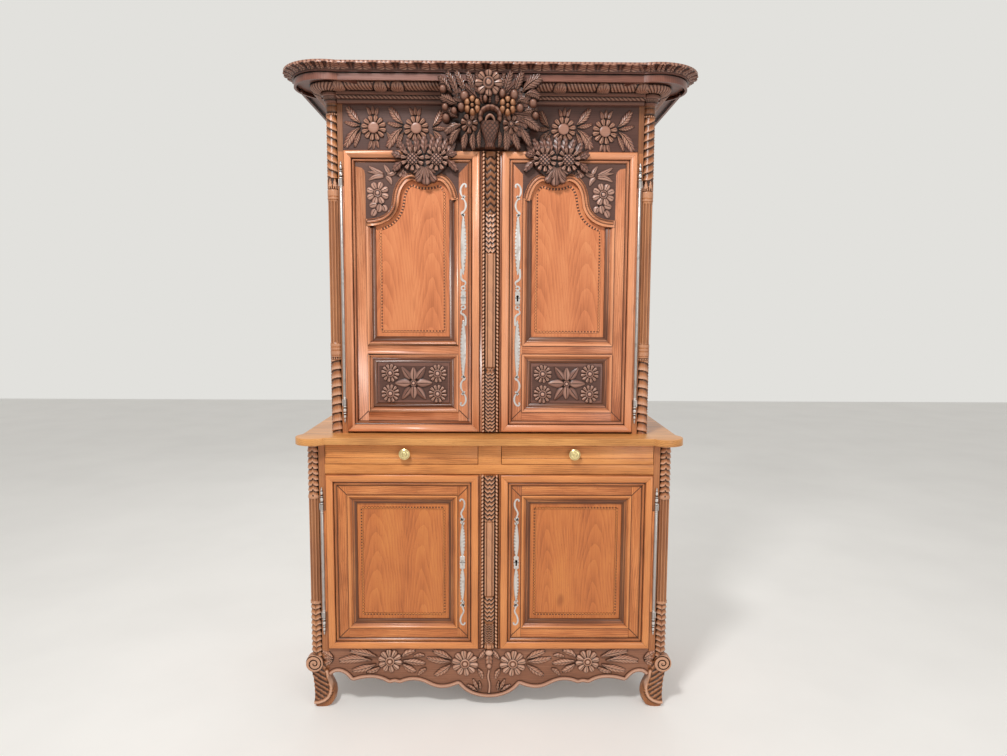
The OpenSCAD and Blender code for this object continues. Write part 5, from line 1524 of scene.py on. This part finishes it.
hinges = (("lower", 646, -261.8, 391, 799, 631, frame_oak),
          ("upper", 568, -181.8, 1220, 2037, 558, upper_frame_oak))
pins = start()
for _, x, y, low, high, _, _ in hinges:
    for side in (1, -1):
        def from_axis(a, b, up):
            return Vector((side * x + a, y + b, up))
        for z, tip in ((low, -1), (high, 1)):
            turned(pins, finial(tip), lambda a, b, up: from_axis(a, b, z + up), 20)
            slab(pins, oblong(x + 2, z, x + 10, z + tip * 26), on_face(y + 4.6, side), 2.2, 0)
        turned(pins, [(0, low - 2, 0), (4, low - 2, 0), (4, high + 2, 0), (0, high + 2, 0)], from_axis, 16)
finish(pins, "hinge_pins_steel", "case", steel, ["hinge_pins"], sharp=50)
sleeve_rings = [(4.06, 0, 0), (6.5, 0, 0), (6.5, 3, 0.3), (5.6, 4, -0.9), (6.3, 5.5, 0), (6.3, 9, 0),
                (5.7, 10, -0.8), (6.3, 11, -0.3)]
for case, x, y, low, high, edge, oak in hinges:
    low, high, edge = low + 0.3, high - 0.3, edge + 0.2
    profile = sleeve_rings + [(r, high - low - up, wear) for r, up, wear in reversed(sleeve_rings)]
    for side, hand in hands:
        door = f"{case}_{hand}_door"
        bm = start()
        turned(bm, profile, lambda a, b, up: Vector((side * x + a, y + b, low + up)), 24)
        # The sleeve's leaf is dark metal, with painted shade for the gap beside the door's edge.
        slab(bm, oblong(edge, low, x, high), on_face(y + 3.5, side), 2.5, 0, wear=-0.85)
        finish(bm, f"{case}_{hand}_sleeve_steel", door, steel,
               [f"{case}_{hand}_hinge_sleeve"], sharp=50)
        bm = start()
        slab(bm, oblong(edge, low + 1, x - 3, high - 1), on_face(y + 1.5, side), 1.9, 0.6)
        finish(bm, f"{case}_{hand}_hinge_edge", door, oak)


# Locks and bolts. Forged iron rim locks are screwed inside the right doors, and iron bolts slide inside
# the left ones. Their shapes are the CAD model's own.
def forged_iron():
    """Forged iron under old oil: nearly black, with a dull sheen and faint hammer marks."""
    material, tree, shader = new_material("forged iron, oiled")
    marks = add(tree, "TexNoise", {"Vector": (add(tree, "TexCoord"), "Object"), "Scale": 120, "Detail": 4})
    tone = add(tree, "Mix", {0: marks, 6: linear("#35302C"), 7: linear("#5C544D")}, data_type="RGBA")
    rough = add(tree, "MapRange", {"Value": (marks, "Fac"), "To Min": 0.4, "To Max": 0.62})
    bump = add(tree, "Bump", {"Height": marks, "Strength": 0.35, "Distance": 0.0008})
    fill(tree, shader, {"Base Color": tone, "Roughness": rough, "Normal": bump})
    shader.inputs["Metallic"].default_value = 0.8
    return material


iron = forged_iron()
for node in ("lower_left_bolt", "upper_left_bolt", "lower_right_lock", "upper_right_lock",
             "lower_right_lock_bolt", "upper_right_lock_bolt"):
    for seat in frame["nodes"][node].material_slots:
        seat.material = iron
